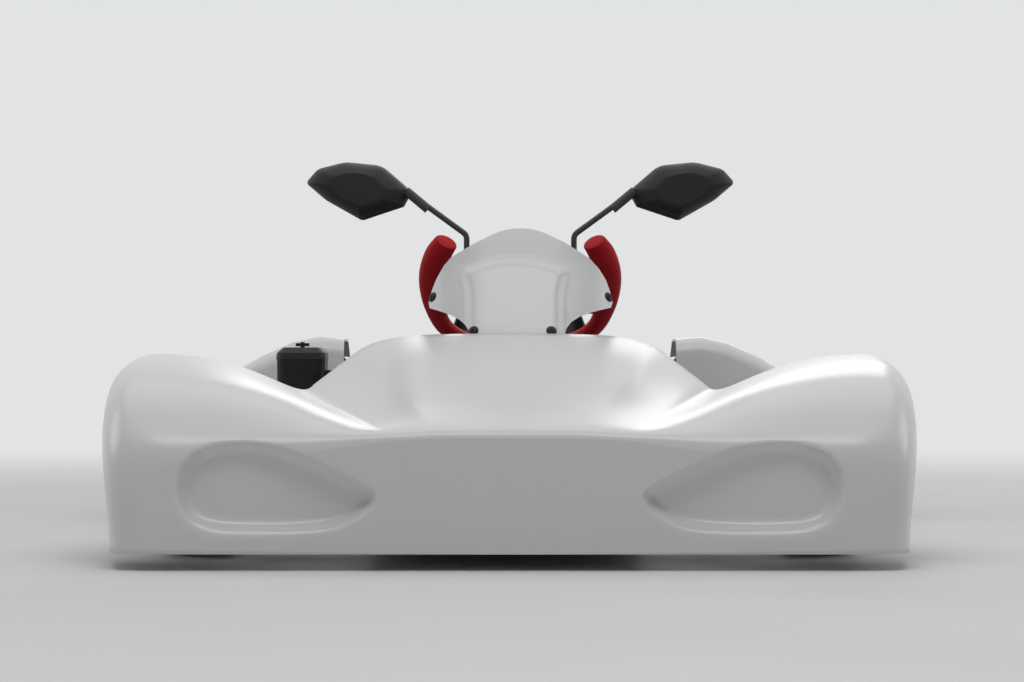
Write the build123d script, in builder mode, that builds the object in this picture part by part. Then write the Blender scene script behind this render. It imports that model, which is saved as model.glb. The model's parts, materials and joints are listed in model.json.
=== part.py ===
"""Racing kart with full-width moulded bodywork, a tubular frame, an open engine and a live rear axle.

The frame is millimetres, +Z up, the nose towards -Y and the driver's left towards +X.
The origin is on the ground, under the middle of the kart's length and width.
"""

import os
from math import cos, hypot, pi, radians, sin

from build123d import *

os.makedirs("parts", exist_ok=True)

SIDES = ((1, "left"), (-1, "right"))
RUN_GAP = 0.3  # between faces of different bodies that lie side by side
PIN_GAP = 0.08  # radial, between a pin or shaft and its bore

# Overall layout
WHEELBASE = 1070
FRONT_OVERHANG = 370
REAR_OVERHANG = 340
LENGTH = FRONT_OVERHANG + WHEELBASE + REAR_OVERHANG
FRONT_Y = -LENGTH / 2
FRONT_AXLE_Y = FRONT_Y + FRONT_OVERHANG
REAR_AXLE_Y = FRONT_AXLE_Y + WHEELBASE
REAR_Y = REAR_AXLE_Y + REAR_OVERHANG
BODY_CLEARANCE = 25  # ground to the lower edge of the bodywork

# Wheels
FRONT_TYRE_R = 127
FRONT_TYRE_W = 125
REAR_TYRE_R = 135
REAR_TYRE_W = 200
FRONT_WHEEL_X = 500
REAR_WHEEL_X = 580
RIM_R = 66  # bead seat of the 5 inch rims
RIM_WALL = 5
RIM_FLANGE_R = 73
RIM_FLANGE_T = 6
RIM_HOLES = 6  # round holes in the web
RIM_HOLE_R = 9.5
FRONT_AXLE_Z = FRONT_TYRE_R
REAR_AXLE_Z = REAR_TYRE_R

# Front stub axles and steering geometry
KINGPIN_X = 370
KINGPIN_R = 6
BARREL_R = 15
BARREL_H = 64
STUB_R = 10
STUB_NUT_R = 15
STUB_NUT_T = 10
HUB_R = 32
RIM_RING_R = (HUB_R + RIM_R - RIM_WALL) / 2
YOKE_T = 8
YOKE_DEPTH = 40
ARM_LENGTH = 95  # kingpin to tie rod, rearwards
ARM_T = 8
ARM_W = 26
STEER_LOCK = 45  # steering wheel, each way
ROAD_LOCK = 25  # front wheels, each way
PITMAN_R = ARM_LENGTH * sin(radians(ROAD_LOCK)) / sin(radians(STEER_LOCK))
PITMAN_T = 8
ROD_R = 6
ROD_EYE_R = 13
ROD_EYE_H = 18
ROD_RISE = 7  # spacer under the outer eye
ROD_STUD_R = 5

# Steering column: its axis runs through the wheel's centre and leans 45 degrees
STEER_X = 18
COLUMN_TILT = 45
WHEEL_HUB = Vector(STEER_X, FRONT_AXLE_Y + 390, 431)
COLUMN_R = 10
COLUMN_FOOT_Z = 85
PITMAN_Z = 150
SUPPORT_Z = 290
SUPPORT_FOOT_Y = FRONT_AXLE_Y + 170
SUPPORT_FOOT_X = 88  # half the spread of the support's feet
COLUMN_AXIS = Vector(0, cos(radians(COLUMN_TILT)), sin(radians(COLUMN_TILT)))
COLUMN_DOWN = Vector(0, sin(radians(COLUMN_TILT)), -cos(radians(COLUMN_TILT)))

# Steering wheel: open at the top, two thick grips joined round the bottom
GRIP_R = 172
GRIP_TOP_X = 146
GRIP_TOP_V = 117
GRIP_LOW_V = -125
GRIP_TOP_SECTION = (23, 16)  # half width and half thickness of a grip at its cut end
GRIP_LOW_SECTION = (14, 13)
SPOKE_W = 46
SPOKE_T = 12
BOSS_R = 36
BOSS_T = 30

# Frame tubes
TUBE_R = 15
CROSS_R = 13
RAIL_Z = 60
RAIL_REAR_X = 290
RAIL_FRONT_X = 200
RAIL_BEND_Y = (FRONT_AXLE_Y + 460, FRONT_AXLE_Y + 190)
RAIL_BEND_R = 150
TRAY_T = 2
BUMPER_T = 45
SIDE_BAR_X = 560
SIDE_BAR_R = 11
SIDE_STUB_R = 9
SIDE_BAR_Y = (FRONT_AXLE_Y + 290, REAR_AXLE_Y - 440)

# Bodywork
SHELL_T = 5
BODY_REAR = 490  # front face to the rear edge of the front body
POD_T = 4
POD_X = (484, 640)
POD_Y = (FRONT_AXLE_Y + 210, REAR_AXLE_Y - 170)
FENDER_T = 4
FENDER_X = (323, REAR_WHEEL_X + REAR_TYRE_W / 2 + 10)
FENDER_Y = (REAR_AXLE_Y - 156, REAR_AXLE_Y + 90)

# Fairing in front of the steering wheel
FAIRING_T = 4

# Seat
SEAT_X = STEER_X
SEAT_T = 5

# Rear axle
AXLE_R = 20
BEARING_W = 36
BEARING_D = 100
DISC_X = 235
DISC_R = 88
DISC_T = 8
CALIPER_GAP = 5
CHAIN_X = -232
CHAIN_PITCH = 12.7
AXLE_TEETH = 48
CRANK_TEETH = 14
SPROCKET_T = 6
CRANK_Y = REAR_AXLE_Y - 270
CRANK_Z = 185


def save(builder, label):
    """Label a finished sub-part and write it."""
    builder.part.label = label
    export_step(builder.part, f"parts/{label}.step")


def add_bar(*points, radius, bend=0.0, mode=Mode.ADD):
    """Add a round bar along straight runs and tangent bends to the part being built, or cut it away."""
    with BuildLine() as path:
        if len(points) == 2:
            Line(*points)
        else:
            FilletPolyline(*points, radius=bend)
    with BuildSketch(path.line ^ 0) as end:
        Circle(radius)
    sweep(end.sketch, path=path.line, mode=mode)


def add_cylinder_x(x0, x1, y, z, radius, mode=Mode.ADD):
    """Add a cylinder that lies along X."""
    with BuildSketch(Plane.YZ.offset(x0)) as end:
        with Locations((y, z)):
            Circle(radius)
    extrude(end.sketch, amount=x1 - x0, mode=mode)


def column_point(z):
    """The point of the steering column's axis at a height."""
    return WHEEL_HUB + COLUMN_AXIS * ((z - WHEEL_HUB.Z) / COLUMN_AXIS.Z)


def rail_x(y):
    """Half the distance between the rails' centre lines at a distance along the kart."""
    part = (y - RAIL_BEND_Y[1]) / (RAIL_BEND_Y[0] - RAIL_BEND_Y[1])
    return RAIL_FRONT_X + (RAIL_REAR_X - RAIL_FRONT_X) * min(1, max(0, part))


def cut_ring_x(x0, x1, y, z, ring_r, hole_r, count):
    """Cut a ring of round holes along X."""
    with BuildSketch(Plane(origin=(x0, y, z), x_dir=(0, 1, 0), z_dir=(1, 0, 0))) as ring:
        with PolarLocations(ring_r, count):
            Circle(hole_r)
    extrude(ring.sketch, amount=x1 - x0, mode=Mode.SUBTRACT)


def wall_outline(points, radii, thickness):
    """Closed outline of a bent sheet: the filleted polyline and its parallel on the right-hand side."""
    inner = []
    for i, (px, py) in enumerate(points):
        normals = []
        for j in (i - 1, i):
            if 0 <= j < len(points) - 1:
                dx = points[j + 1][0] - points[j][0]
                dy = points[j + 1][1] - points[j][1]
                normals.append((dy / hypot(dx, dy), -dx / hypot(dx, dy)))
        mx = sum(n[0] for n in normals) / len(normals)
        my = sum(n[1] for n in normals) / len(normals)
        scale = thickness / (mx * mx + my * my)
        inner.append((px + mx * scale, py + my * scale))
    turns = []
    for i in range(1, len(points) - 1):
        ax, ay = points[i][0] - points[i - 1][0], points[i][1] - points[i - 1][1]
        bx, by = points[i + 1][0] - points[i][0], points[i + 1][1] - points[i][1]
        turns.append(ax * by - ay * bx)
    inner_radii = [r - thickness if turn < 0 else r + thickness for r, turn in zip(radii, turns)]
    with BuildLine() as outline:
        outer_line = FilletPolyline(*points, radius=list(radii))
        inner_line = FilletPolyline(*inner, radius=inner_radii)
        Line(outer_line @ 0, inner_line @ 0)
        Line(outer_line @ 1, inner_line @ 1)
    return outline


# Frame: two main rails that run from the nose to the rear bumper, and the tubes between them
RAIL_FRONT_Y = FRONT_Y + SHELL_T
RAIL_REAR_Y = REAR_Y - BUMPER_T
rails = []
for side, hand in SIDES:
    with BuildPart() as rail:
        add_bar(
            (side * RAIL_REAR_X, RAIL_REAR_Y, RAIL_Z),
            (side * RAIL_REAR_X, RAIL_BEND_Y[0], RAIL_Z),
            (side * RAIL_FRONT_X, RAIL_BEND_Y[1], RAIL_Z),
            (side * RAIL_FRONT_X, RAIL_FRONT_Y, RAIL_Z),
            radius=TUBE_R,
            bend=RAIL_BEND_R,
        )
    rails.append(rail.part)
    save(rail, f"frame_rail_{hand}")

YOKE_GAP = 14  # clear of the steering arm at full lock
YOKE_IN_X = KINGPIN_X - BARREL_R - YOKE_GAP - YOKE_T
# Cross tubes: distance along the kart, half length
CROSS_TUBES = (
    (RAIL_FRONT_Y + 70, RAIL_FRONT_X),
    (FRONT_AXLE_Y, YOKE_IN_X),
    (SUPPORT_FOOT_Y, rail_x(SUPPORT_FOOT_Y)),
    (RAIL_BEND_Y[0] - 40, rail_x(RAIL_BEND_Y[0] - 40)),
    (REAR_AXLE_Y + 120, RAIL_REAR_X),
)
with BuildPart() as cross_tubes:
    for cross_y, half in CROSS_TUBES:
        add_cylinder_x(-half, half, cross_y, RAIL_Z, CROSS_R)
    add(rails, mode=Mode.SUBTRACT)
save(cross_tubes, "frame_cross_tubes")

# Kingpin yokes: a web on the end of the front cross tube, two plates and the kingpin bolt
PLATE_TOP = FRONT_AXLE_Z + BARREL_H / 2 + RUN_GAP + YOKE_T
PLATE_FOOT = FRONT_AXLE_Z - BARREL_H / 2 - RUN_GAP - YOKE_T
with BuildPart() as yokes:
    for side, hand in SIDES:
        web_x = side * (YOKE_IN_X + YOKE_T / 2)
        with Locations((web_x, FRONT_AXLE_Y, (PLATE_TOP + RAIL_Z - TUBE_R) / 2)):
            Box(YOKE_T, YOKE_DEPTH, PLATE_TOP - RAIL_Z + TUBE_R)
        for plate_z in (PLATE_FOOT, PLATE_TOP - YOKE_T):
            with BuildSketch(Plane.XY.offset(plate_z)):
                with Locations((side * KINGPIN_X, FRONT_AXLE_Y)):
                    Circle(YOKE_DEPTH / 2)
                with Locations((side * (YOKE_IN_X + KINGPIN_X) / 2, FRONT_AXLE_Y)):
                    Rectangle(KINGPIN_X - YOKE_IN_X, YOKE_DEPTH)
            extrude(amount=YOKE_T)
        with Locations((side * KINGPIN_X, FRONT_AXLE_Y, FRONT_AXLE_Z)):
            Cylinder(KINGPIN_R, PLATE_TOP - PLATE_FOOT + 12)
        for head_z in (PLATE_FOOT - 4, PLATE_TOP + 4):
            with BuildSketch(Plane.XY.offset(head_z - 4)):
                with Locations((side * KINGPIN_X, FRONT_AXLE_Y)):
                    RegularPolygon(10, 6)
            extrude(amount=8)
save(yokes, "kingpin_yokes")

# Stub axles: kingpin barrel, wheel spindle with its nut, steering arm
FRONT_RIM_IN = FRONT_WHEEL_X - FRONT_TYRE_W / 2 + 6
HUB_X = (FRONT_WHEEL_X - 38, FRONT_WHEEL_X + 38)
ARM_Z = FRONT_AXLE_Z - BARREL_H / 2 + 4
ROD_OUT_Y = FRONT_AXLE_Y + ARM_LENGTH
for side, hand in SIDES:
    with BuildPart() as knuckle:
        with Locations((side * KINGPIN_X, FRONT_AXLE_Y, FRONT_AXLE_Z)):
            Cylinder(BARREL_R, BARREL_H)
        add_cylinder_x(side * KINGPIN_X, side * (HUB_X[1] + 16), FRONT_AXLE_Y, FRONT_AXLE_Z, STUB_R)
        add_cylinder_x(
            side * KINGPIN_X, side * (HUB_X[0] - 1), FRONT_AXLE_Y, FRONT_AXLE_Z, STUB_R + 4
        )
        with BuildSketch(Plane.YZ.offset(side * (HUB_X[1] + 1))):
            with Locations((FRONT_AXLE_Y, FRONT_AXLE_Z)):
                RegularPolygon(STUB_NUT_R, 6)
        extrude(amount=side * STUB_NUT_T)
        with BuildSketch(Plane.XY.offset(ARM_Z)):
            with Locations((side * KINGPIN_X, FRONT_AXLE_Y + ARM_LENGTH / 2)):
                SlotCenterToCenter(ARM_LENGTH, ARM_W, rotation=90)
        extrude(amount=ARM_T)
        with BuildSketch(Plane.XY.offset(FRONT_AXLE_Z - BARREL_H)):
            with Locations((side * KINGPIN_X, FRONT_AXLE_Y)):
                Circle(KINGPIN_R + PIN_GAP)
            with Locations((side * KINGPIN_X, ROD_OUT_Y)):
                Circle(ROD_STUD_R + PIN_GAP)
        extrude(amount=2 * BARREL_H, mode=Mode.SUBTRACT)
    save(knuckle, f"stub_axle_{hand}")

# Tie rods: the outer eye turns on its stud in the steering arm, the inner eyes lie under the drop arm
PITMAN_PIN = column_point(PITMAN_Z) + COLUMN_DOWN * PITMAN_R
ROD_OUT_Z = ARM_Z + ARM_T + RUN_GAP
for stack, (side, hand) in enumerate(SIDES):
    depth = PITMAN_T / 2 + RUN_GAP + ROD_EYE_H / 2 + stack * (ROD_EYE_H + RUN_GAP)
    inner_eye = PITMAN_PIN - COLUMN_AXIS * depth
    outer_eye = Vector(side * KINGPIN_X, ROD_OUT_Y, ROD_OUT_Z + ROD_RISE + ROD_EYE_H / 2)
    with BuildPart() as tie_rod:
        with Locations(outer_eye):
            Cylinder(ROD_EYE_R, ROD_EYE_H)
        with Locations((outer_eye.X, outer_eye.Y, ROD_OUT_Z + ROD_RISE / 2)):
            Cylinder(ROD_STUD_R + 3, ROD_RISE)
        with Locations((outer_eye.X, outer_eye.Y, ARM_Z + ARM_T / 2)):
            Cylinder(ROD_STUD_R, ARM_T + 4)
        with BuildSketch(Plane.XY.offset(ARM_Z - RUN_GAP)):
            with Locations((outer_eye.X, outer_eye.Y)):
                RegularPolygon(ROD_STUD_R + 4, 6)
        extrude(amount=-6)
        with BuildSketch(Plane(inner_eye, x_dir=(1, 0, 0), z_dir=COLUMN_AXIS)):
            Circle(ROD_EYE_R)
        extrude(amount=ROD_EYE_H / 2, both=True)
        add_bar(inner_eye, outer_eye, radius=ROD_R)
    save(tie_rod, f"tie_rod_{hand}")

# Steering column with its drop arm
with BuildPart() as column:
    add_bar(column_point(COLUMN_FOOT_Z), WHEEL_HUB - COLUMN_AXIS * BOSS_T, radius=COLUMN_R)
    with BuildSketch(Plane(column_point(PITMAN_Z), x_dir=(1, 0, 0), z_dir=COLUMN_AXIS)):
        Circle(COLUMN_R + 10)
        with Locations((0, PITMAN_R / 2)):
            SlotCenterToCenter(PITMAN_R, 2 * ROD_EYE_R, rotation=90)
    extrude(amount=PITMAN_T / 2, both=True)
    with BuildSketch(
        Plane(PITMAN_PIN + COLUMN_AXIS * PITMAN_T / 2, x_dir=(1, 0, 0), z_dir=COLUMN_AXIS)
    ):
        RegularPolygon(9, 6)
    extrude(amount=7)
save(column, "steering_column")

# Steering boss and wheel, drawn in the plane of the wheel
wheel_plane = Plane(WHEEL_HUB, x_dir=(-1, 0, 0), z_dir=COLUMN_AXIS)
with BuildPart() as boss:
    with BuildSketch(wheel_plane.offset(-BOSS_T)):
        Circle(BOSS_R * 0.6)
    with BuildSketch(wheel_plane.offset(-SPOKE_T / 2)):
        Circle(BOSS_R)
    loft()
save(boss, "steering_boss")

with BuildPart() as steering_wheel:
    grip_x = GRIP_R - GRIP_TOP_SECTION[0] + 3
    with BuildLine(wheel_plane) as rim_path:
        FilletPolyline(
            (-GRIP_TOP_X, GRIP_TOP_V),
            (-grip_x, 20),
            (-grip_x + 10, GRIP_LOW_V),
            (grip_x - 10, GRIP_LOW_V),
            (grip_x, 20),
            (GRIP_TOP_X, GRIP_TOP_V),
            radius=[120, 90, 90, 120],
        )
    for along, (wide, thick) in ((0, GRIP_TOP_SECTION), (0.5, GRIP_LOW_SECTION), (1, GRIP_TOP_SECTION)):
        with BuildSketch(
            Plane(rim_path.line @ along, x_dir=COLUMN_AXIS, z_dir=rim_path.line % along)
        ):
            Ellipse(thick, wide)
    sweep(path=rim_path.line, multisection=True)
    with BuildSketch(wheel_plane.offset(-SPOKE_T / 2)):
        Circle(BOSS_R + 8)
        for side, hand in SIDES:
            with Locations((side * GRIP_R * 0.44, -14)):
                Rectangle(GRIP_R * 0.84, SPOKE_W, rotation=-side * 8)
        with Locations((0, GRIP_LOW_V / 2)):
            Rectangle(SPOKE_W, -GRIP_LOW_V)
    extrude(amount=SPOKE_T)
save(steering_wheel, "steering_wheel")

# Column support: an upper bearing on two legs, and a foot block on the front cross tube
with BuildPart() as column_support:
    sleeve = column_point(SUPPORT_Z)
    add_bar(sleeve - COLUMN_AXIS * 22, sleeve + COLUMN_AXIS * 22, radius=COLUMN_R + 9)
    for side, hand in SIDES:
        add_bar(sleeve, (STEER_X + side * SUPPORT_FOOT_X, SUPPORT_FOOT_Y, RAIL_Z), radius=11)
    with Locations((STEER_X, FRONT_AXLE_Y + 42, RAIL_Z + 20)):
        Box(44, 60, 66)
    add_bar(
        column_point(COLUMN_FOOT_Z - 60),
        WHEEL_HUB + COLUMN_AXIS * 20,
        radius=COLUMN_R + PIN_GAP,
        mode=Mode.SUBTRACT,
    )
    add(rails, mode=Mode.SUBTRACT)
    add(cross_tubes.part, mode=Mode.SUBTRACT)
save(column_support, "column_support")

# Floor tray under the rails, with two holes for ballast bolts
TRAY_TOP = RAIL_Z - TUBE_R
TRAY_FRONT_Y = RAIL_FRONT_Y + 60
TRAY_BACK_Y = REAR_AXLE_Y - 510  # ahead of the seat
BALLAST_X = 70
BALLAST_Y = TRAY_BACK_Y - 40
BALLAST_HOLE_R = 4.25
with BuildPart() as tray:
    with BuildSketch(Plane.XY.offset(TRAY_TOP - TRAY_T)):
        with BuildLine():
            half_line = Polyline(
                (0, TRAY_FRONT_Y),
                (RAIL_FRONT_X, TRAY_FRONT_Y),
                (RAIL_FRONT_X, RAIL_BEND_Y[1]),
                (RAIL_REAR_X, RAIL_BEND_Y[0]),
                (RAIL_REAR_X, REAR_AXLE_Y),
                (0, REAR_AXLE_Y),
            )
            mirror(half_line, about=Plane.YZ)
        make_face()
        with Locations((0, (TRAY_FRONT_Y + TRAY_BACK_Y) / 2)):
            Rectangle(2 * RAIL_REAR_X, TRAY_BACK_Y - TRAY_FRONT_Y, mode=Mode.INTERSECT)
        with Locations((-BALLAST_X, BALLAST_Y), (BALLAST_X, BALLAST_Y)):
            Circle(BALLAST_HOLE_R, mode=Mode.SUBTRACT)
    extrude(amount=TRAY_T)
save(tray, "floor_tray")

# Seat: a moulded bucket. Sections from the bottom up: height, front and back from the rear axle,
# half width, corner radius
SEAT_SECTIONS = (
    (42, -440, -158, 150, 60),
    (110, -462, -126, 184, 70),
    (230, -460, -88, 180, 70),
    (425, -360, -24, 112, 60),
)
SEAT_CUT = ((-550, 105), (-400, 105), (-280, 205), (-150, 300), (-105, 440))  # side line of the rim
SEAT_CUT_RADII = (120, 150, 60)
with BuildPart() as seat_outer:
    for height, front, back, half, corner in SEAT_SECTIONS:
        with BuildSketch(Plane.XY.offset(height)):
            with Locations((SEAT_X, REAR_AXLE_Y + (front + back) / 2)):
                RectangleRounded(2 * half, back - front, corner)
    loft()
with BuildPart() as seat_inner:
    for height, front, back, half, corner in SEAT_SECTIONS:
        with BuildSketch(Plane.XY.offset(height + SEAT_T)):
            with Locations((SEAT_X, REAR_AXLE_Y + (front + back) / 2)):
                RectangleRounded(2 * (half - SEAT_T), back - front - 2 * SEAT_T, corner - SEAT_T)
    loft()
with BuildPart() as seat:
    add(seat_outer.part)
    add(seat_inner.part, mode=Mode.SUBTRACT)
    with BuildSketch(Plane.YZ):
        cut = [(REAR_AXLE_Y + y, z) for y, z in SEAT_CUT]
        with BuildLine():
            FilletPolyline(*cut, radius=list(SEAT_CUT_RADII))
            Polyline(cut[-1], (cut[0][0], cut[-1][1]), cut[0])
        make_face()
    extrude(amount=400, both=True, mode=Mode.SUBTRACT)
save(seat, "seat")

# Front body: one moulding over both front wheels, open below and behind.
# Sections from the front: set-back, hump half width and height, hump foot half width and height,
# heights of the saddle's and crown's control points, shoulder height, side half width, foot half width
FRONT_SECTIONS = (
    (0, 100, 200, 180, 196, 192, 180, 165, 556, 556),
    (4, 101, 208, 182, 204, 202, 192, 180, 576, 574),
    (12, 103, 214, 186, 209, 208, 204, 195, 594, 590),
    (32, 108, 221, 194, 214, 211, 222, 218, 612, 604),
    (75, 119, 233, 208, 221, 212, 256, 255, 627, 613),
    (150, 138, 254, 232, 232, 215, 290, 292, 640, 622),
    (280, 178, 296, 272, 250, 220, 310, 317, 650, 634),
    (400, 192, 333, 302, 264, 230, 315, 326, 650, 636),
    (BODY_REAR, 200, 354, 326, 274, 240, 316, 324, 646, 636),
)
SHOULDER_W = 75
FENDER_CONTROL = (0.106, 0.343, 0.79)  # of the way from the hump's foot to the shoulder
FRONT_STEPS = (0, 1.5, 4, 7.5, 12, 20, 32, 50, 75, 110, 150, 210, 280, 340, 400, BODY_REAR)
ROLL_T = 9  # the skin's extra thickness in the rolled front edge
ROLL_BACK = 60


def front_row(back):
    """The front body's section sizes at a set-back, on a smooth curve through the table."""
    backs = [row[0] for row in FRONT_SECTIONS]
    sizes = []
    for values in list(zip(*FRONT_SECTIONS))[1:]:
        rise = [(b - a) / (q - p) for a, b, p, q in zip(values, values[1:], backs, backs[1:])]
        slope = [rise[0]] + [2 * m * n / (m + n) if m * n > 0 else 0 for m, n in zip(rise, rise[1:])]
        slope.append(rise[-1])
        i = max(k for k in range(len(backs) - 1) if backs[k] <= back)
        gap = backs[i + 1] - backs[i]
        t = (back - backs[i]) / gap
        sizes.append(
            values[i] * (1 + 2 * t) * (1 - t) ** 2
            + slope[i] * gap * t * (1 - t) ** 2
            + values[i + 1] * t * t * (3 - 2 * t)
            + slope[i + 1] * gap * t * t * (t - 1)
        )
    return sizes


def front_curve(back, inset):
    """Draw a cross-section of the front body inside its skin by the inset, and return its foot."""
    hump_x, hump_z, edge_x, edge_z, saddle_z, crown_z, shoulder_z, side_x, foot_x = front_row(back)
    hump_x, edge_x = hump_x - inset / 2, edge_x - inset / 2
    side_x, foot_x = side_x - inset, foot_x - inset
    hump_z, edge_z, shoulder_z = hump_z - inset, edge_z - inset, shoulder_z - inset
    top_x = side_x - SHOULDER_W
    heights = (saddle_z - inset, crown_z - inset, shoulder_z)
    crown = [(edge_x + (top_x - edge_x) * f, z) for f, z in zip(FENDER_CONTROL, heights)]
    flank = [(side_x - 14, shoulder_z), (side_x + 16, 0.86 * shoulder_z), (side_x + 8, 0.45 * shoulder_z)]
    Line((-hump_x, hump_z), (hump_x, hump_z))
    for side, hand in SIDES:
        Line((side * hump_x, hump_z), (side * edge_x, edge_z))
        curve = [(edge_x, edge_z)] + crown + [(top_x, shoulder_z)]
        Bezier(*[(side * x, z) for x, z in curve])
        curve = [(top_x, shoulder_z)] + flank + [(foot_x, BODY_CLEARANCE)]
        Bezier(*[(side * x, z) for x, z in curve])
    return foot_x


def front_plane(back):
    """A plane across the kart, seen from its nose."""
    return Plane(origin=(0, FRONT_Y + back, 0), x_dir=(1, 0, 0), z_dir=(0, -1, 0))


def front_band(back):
    """The front body's skin, cut across the kart."""
    inset = SHELL_T + ROLL_T * max(0, 1 - back / ROLL_BACK) ** 2
    with BuildSketch(front_plane(back)) as face:
        with BuildLine() as line:
            outer = front_curve(back, 0)
            inner = front_curve(back, inset)
            for side, hand in SIDES:
                Line((side * outer, BODY_CLEARANCE), (side * inner, BODY_CLEARANCE))
        make_face(line.edges())
    return face.sketch


def front_full(back, inset):
    """The whole area inside the front body's skin, cut across the kart."""
    with BuildSketch(front_plane(back)) as face:
        with BuildLine() as line:
            foot = front_curve(back, inset)
            Line((-foot, BODY_CLEARANCE), (foot, BODY_CLEARANCE))
        make_face(line.edges())
    return face.sketch


# Blank lamp recess in each front corner: a drop-shaped pocket with a rolled lip and its own wall.
# Profile of its side from the front: depth, inset from the outline
RECESS_LINE = ((488, 66), (502, 150), (440, 186), (372, 188), (206, 106), (262, 66))
RECESS_RADII = (34, 50, 50, 50, 12, 45)
RECESS_PROFILE = ((-4, -15), (0, -10), (8, -2), (18, 6), (22, 15))


def inset_ring(points, amount):
    """Corners of an anticlockwise outline, moved inwards."""
    ring = []
    for i, (px, pz) in enumerate(points):
        normals = []
        for (ax, az), (bx, bz) in ((points[i - 1], points[i]), (points[i], points[(i + 1) % len(points)])):
            length = hypot(bx - ax, bz - az)
            normals.append(((az - bz) / length, (bx - ax) / length))
        mx = (normals[0][0] + normals[1][0]) / 2
        mz = (normals[0][1] + normals[1][1]) / 2
        scale = amount / (mx * mx + mz * mz)
        ring.append((px + mx * scale, pz + mz * scale))
    return ring


def recess_form(side, depth_add, grow):
    """The recess as a solid, moved back and grown."""
    levels = []
    for depth, inset in RECESS_PROFILE:
        ring = [(side * x, z) for x, z in inset_ring(RECESS_LINE, inset - grow)]
        radii = [max(r - inset + grow, 4) for r in RECESS_RADII]
        with BuildSketch(front_plane(depth + depth_add)) as level:
            with BuildLine() as line:
                FilletPolyline(*ring, radius=radii, close=True)
            make_face(line.edges())
        levels.append(level.sketch)
    with BuildPart() as form:
        loft(levels)
    return form.part


ARCH_R = 168
ARCH_Z = FRONT_AXLE_Z - 10
RECESS_ZONE = [back for back in FRONT_STEPS if back < 76]
with BuildPart() as recess_walls:
    loft([front_full(back, 0) for back in RECESS_ZONE], ruled=True)
    add([recess_form(side, SHELL_T, SHELL_T + 1) for side, hand in SIDES], mode=Mode.INTERSECT)
with BuildPart() as front_body:
    loft([front_band(back) for back in FRONT_STEPS], ruled=True)
    extrude(front_full(0, SHELL_T), amount=-SHELL_T)
    add(recess_walls.part)
    for side, hand in SIDES:
        add(recess_form(side, 0, 0), mode=Mode.SUBTRACT)
        add_cylinder_x(
            side * (FRONT_WHEEL_X + 80), side * 700, FRONT_AXLE_Y, ARCH_Z, ARCH_R, mode=Mode.SUBTRACT
        )
save(front_body, "front_body")

# Fairing: a bent panel in front of the steering wheel, with a raised middle, cut to its front outline.
# Levels from the bottom: height, distance along the kart of its middle
FAIRING_LEVELS = ((300, WHEEL_HUB.Y - 288), (480, WHEEL_HUB.Y - 188), (560, WHEEL_HUB.Y - 154))
FAIRING_LEAN = (FAIRING_LEVELS[1][1] - FAIRING_LEVELS[0][1]) / (FAIRING_LEVELS[1][0] - FAIRING_LEVELS[0][0])
FAIRING_RAISE = 14  # the middle stands proud of the panel
FAIRING_MIDDLE = (72, 88)  # half width of the middle's front face and of its foot
FAIRING_BEND = ((178, 92), (104, 30), (70, 14), (-70, 14), (-104, 30), (-178, 92))
FAIRING_BEND_RADII = (60, 60, 60, 60)
FAIRING_PEAK = 556
FAIRING_PEAK_R = 90
FAIRING_OUTLINE = ((132, 496), (165, 403), (112, 391), (87, 352), (85, 312))
FAIRING_OUTLINE_RADII = (40, 5, 46, 30, 6)
FAIRING_ARCH = (470, 494)  # top of the raised middle at its corners and at the centre line
with BuildPart() as fairing:
    for level, middle in FAIRING_LEVELS:
        with BuildSketch(Plane.XY.offset(level)):
            points = [(STEER_X + x, middle + y) for x, y in FAIRING_BEND]
            make_face(wall_outline(points, FAIRING_BEND_RADII, FAIRING_T).edges())
    loft(ruled=True)
    with BuildSketch(Plane(origin=(STEER_X, 0, 0), x_dir=(1, 0, 0), z_dir=(0, -1, 0))):
        ring = list(FAIRING_OUTLINE) + [(-x, z) for x, z in reversed(FAIRING_OUTLINE)]
        radii = list(FAIRING_OUTLINE_RADII) + list(reversed(FAIRING_OUTLINE_RADII))
        with BuildLine() as line:
            FilletPolyline((0, FAIRING_PEAK), *ring, radius=[FAIRING_PEAK_R] + radii, close=True)
        make_face(line.edges())
    extrude(amount=LENGTH / 2, mode=Mode.INTERSECT)
with BuildPart() as fairing_middle:
    for level, middle in FAIRING_LEVELS[:2]:
        with BuildSketch(Plane.XY.offset(level)):
            front, foot = FAIRING_MIDDLE
            depth = middle + FAIRING_RAISE + FAIRING_T / 2
            with BuildLine() as line:
                FilletPolyline(
                    (STEER_X - foot, depth),
                    (STEER_X - front, middle),
                    (STEER_X + front, middle),
                    (STEER_X + foot, depth),
                    radius=[10, 10],
                )
                Line((STEER_X - foot, depth), (STEER_X + foot, depth))
            make_face(line.edges())
    loft(ruled=True)
    with BuildSketch(Plane(origin=(STEER_X, 0, 0), x_dir=(1, 0, 0), z_dir=(0, -1, 0))):
        half = FAIRING_MIDDLE[1] + 10
        with BuildLine() as line:
            ThreePointArc((-half, FAIRING_ARCH[0]), (0, FAIRING_ARCH[1]), (half, FAIRING_ARCH[0]))
            Polyline((half, FAIRING_ARCH[0]), (half, 312), (-half, 312), (-half, FAIRING_ARCH[0]))
        make_face(line.edges())
    extrude(amount=LENGTH / 2, mode=Mode.INTERSECT)
with BuildPart() as whole_fairing:
    add(fairing.part)
    add(fairing_middle.part)
save(whole_fairing, "steering_fairing")

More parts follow.
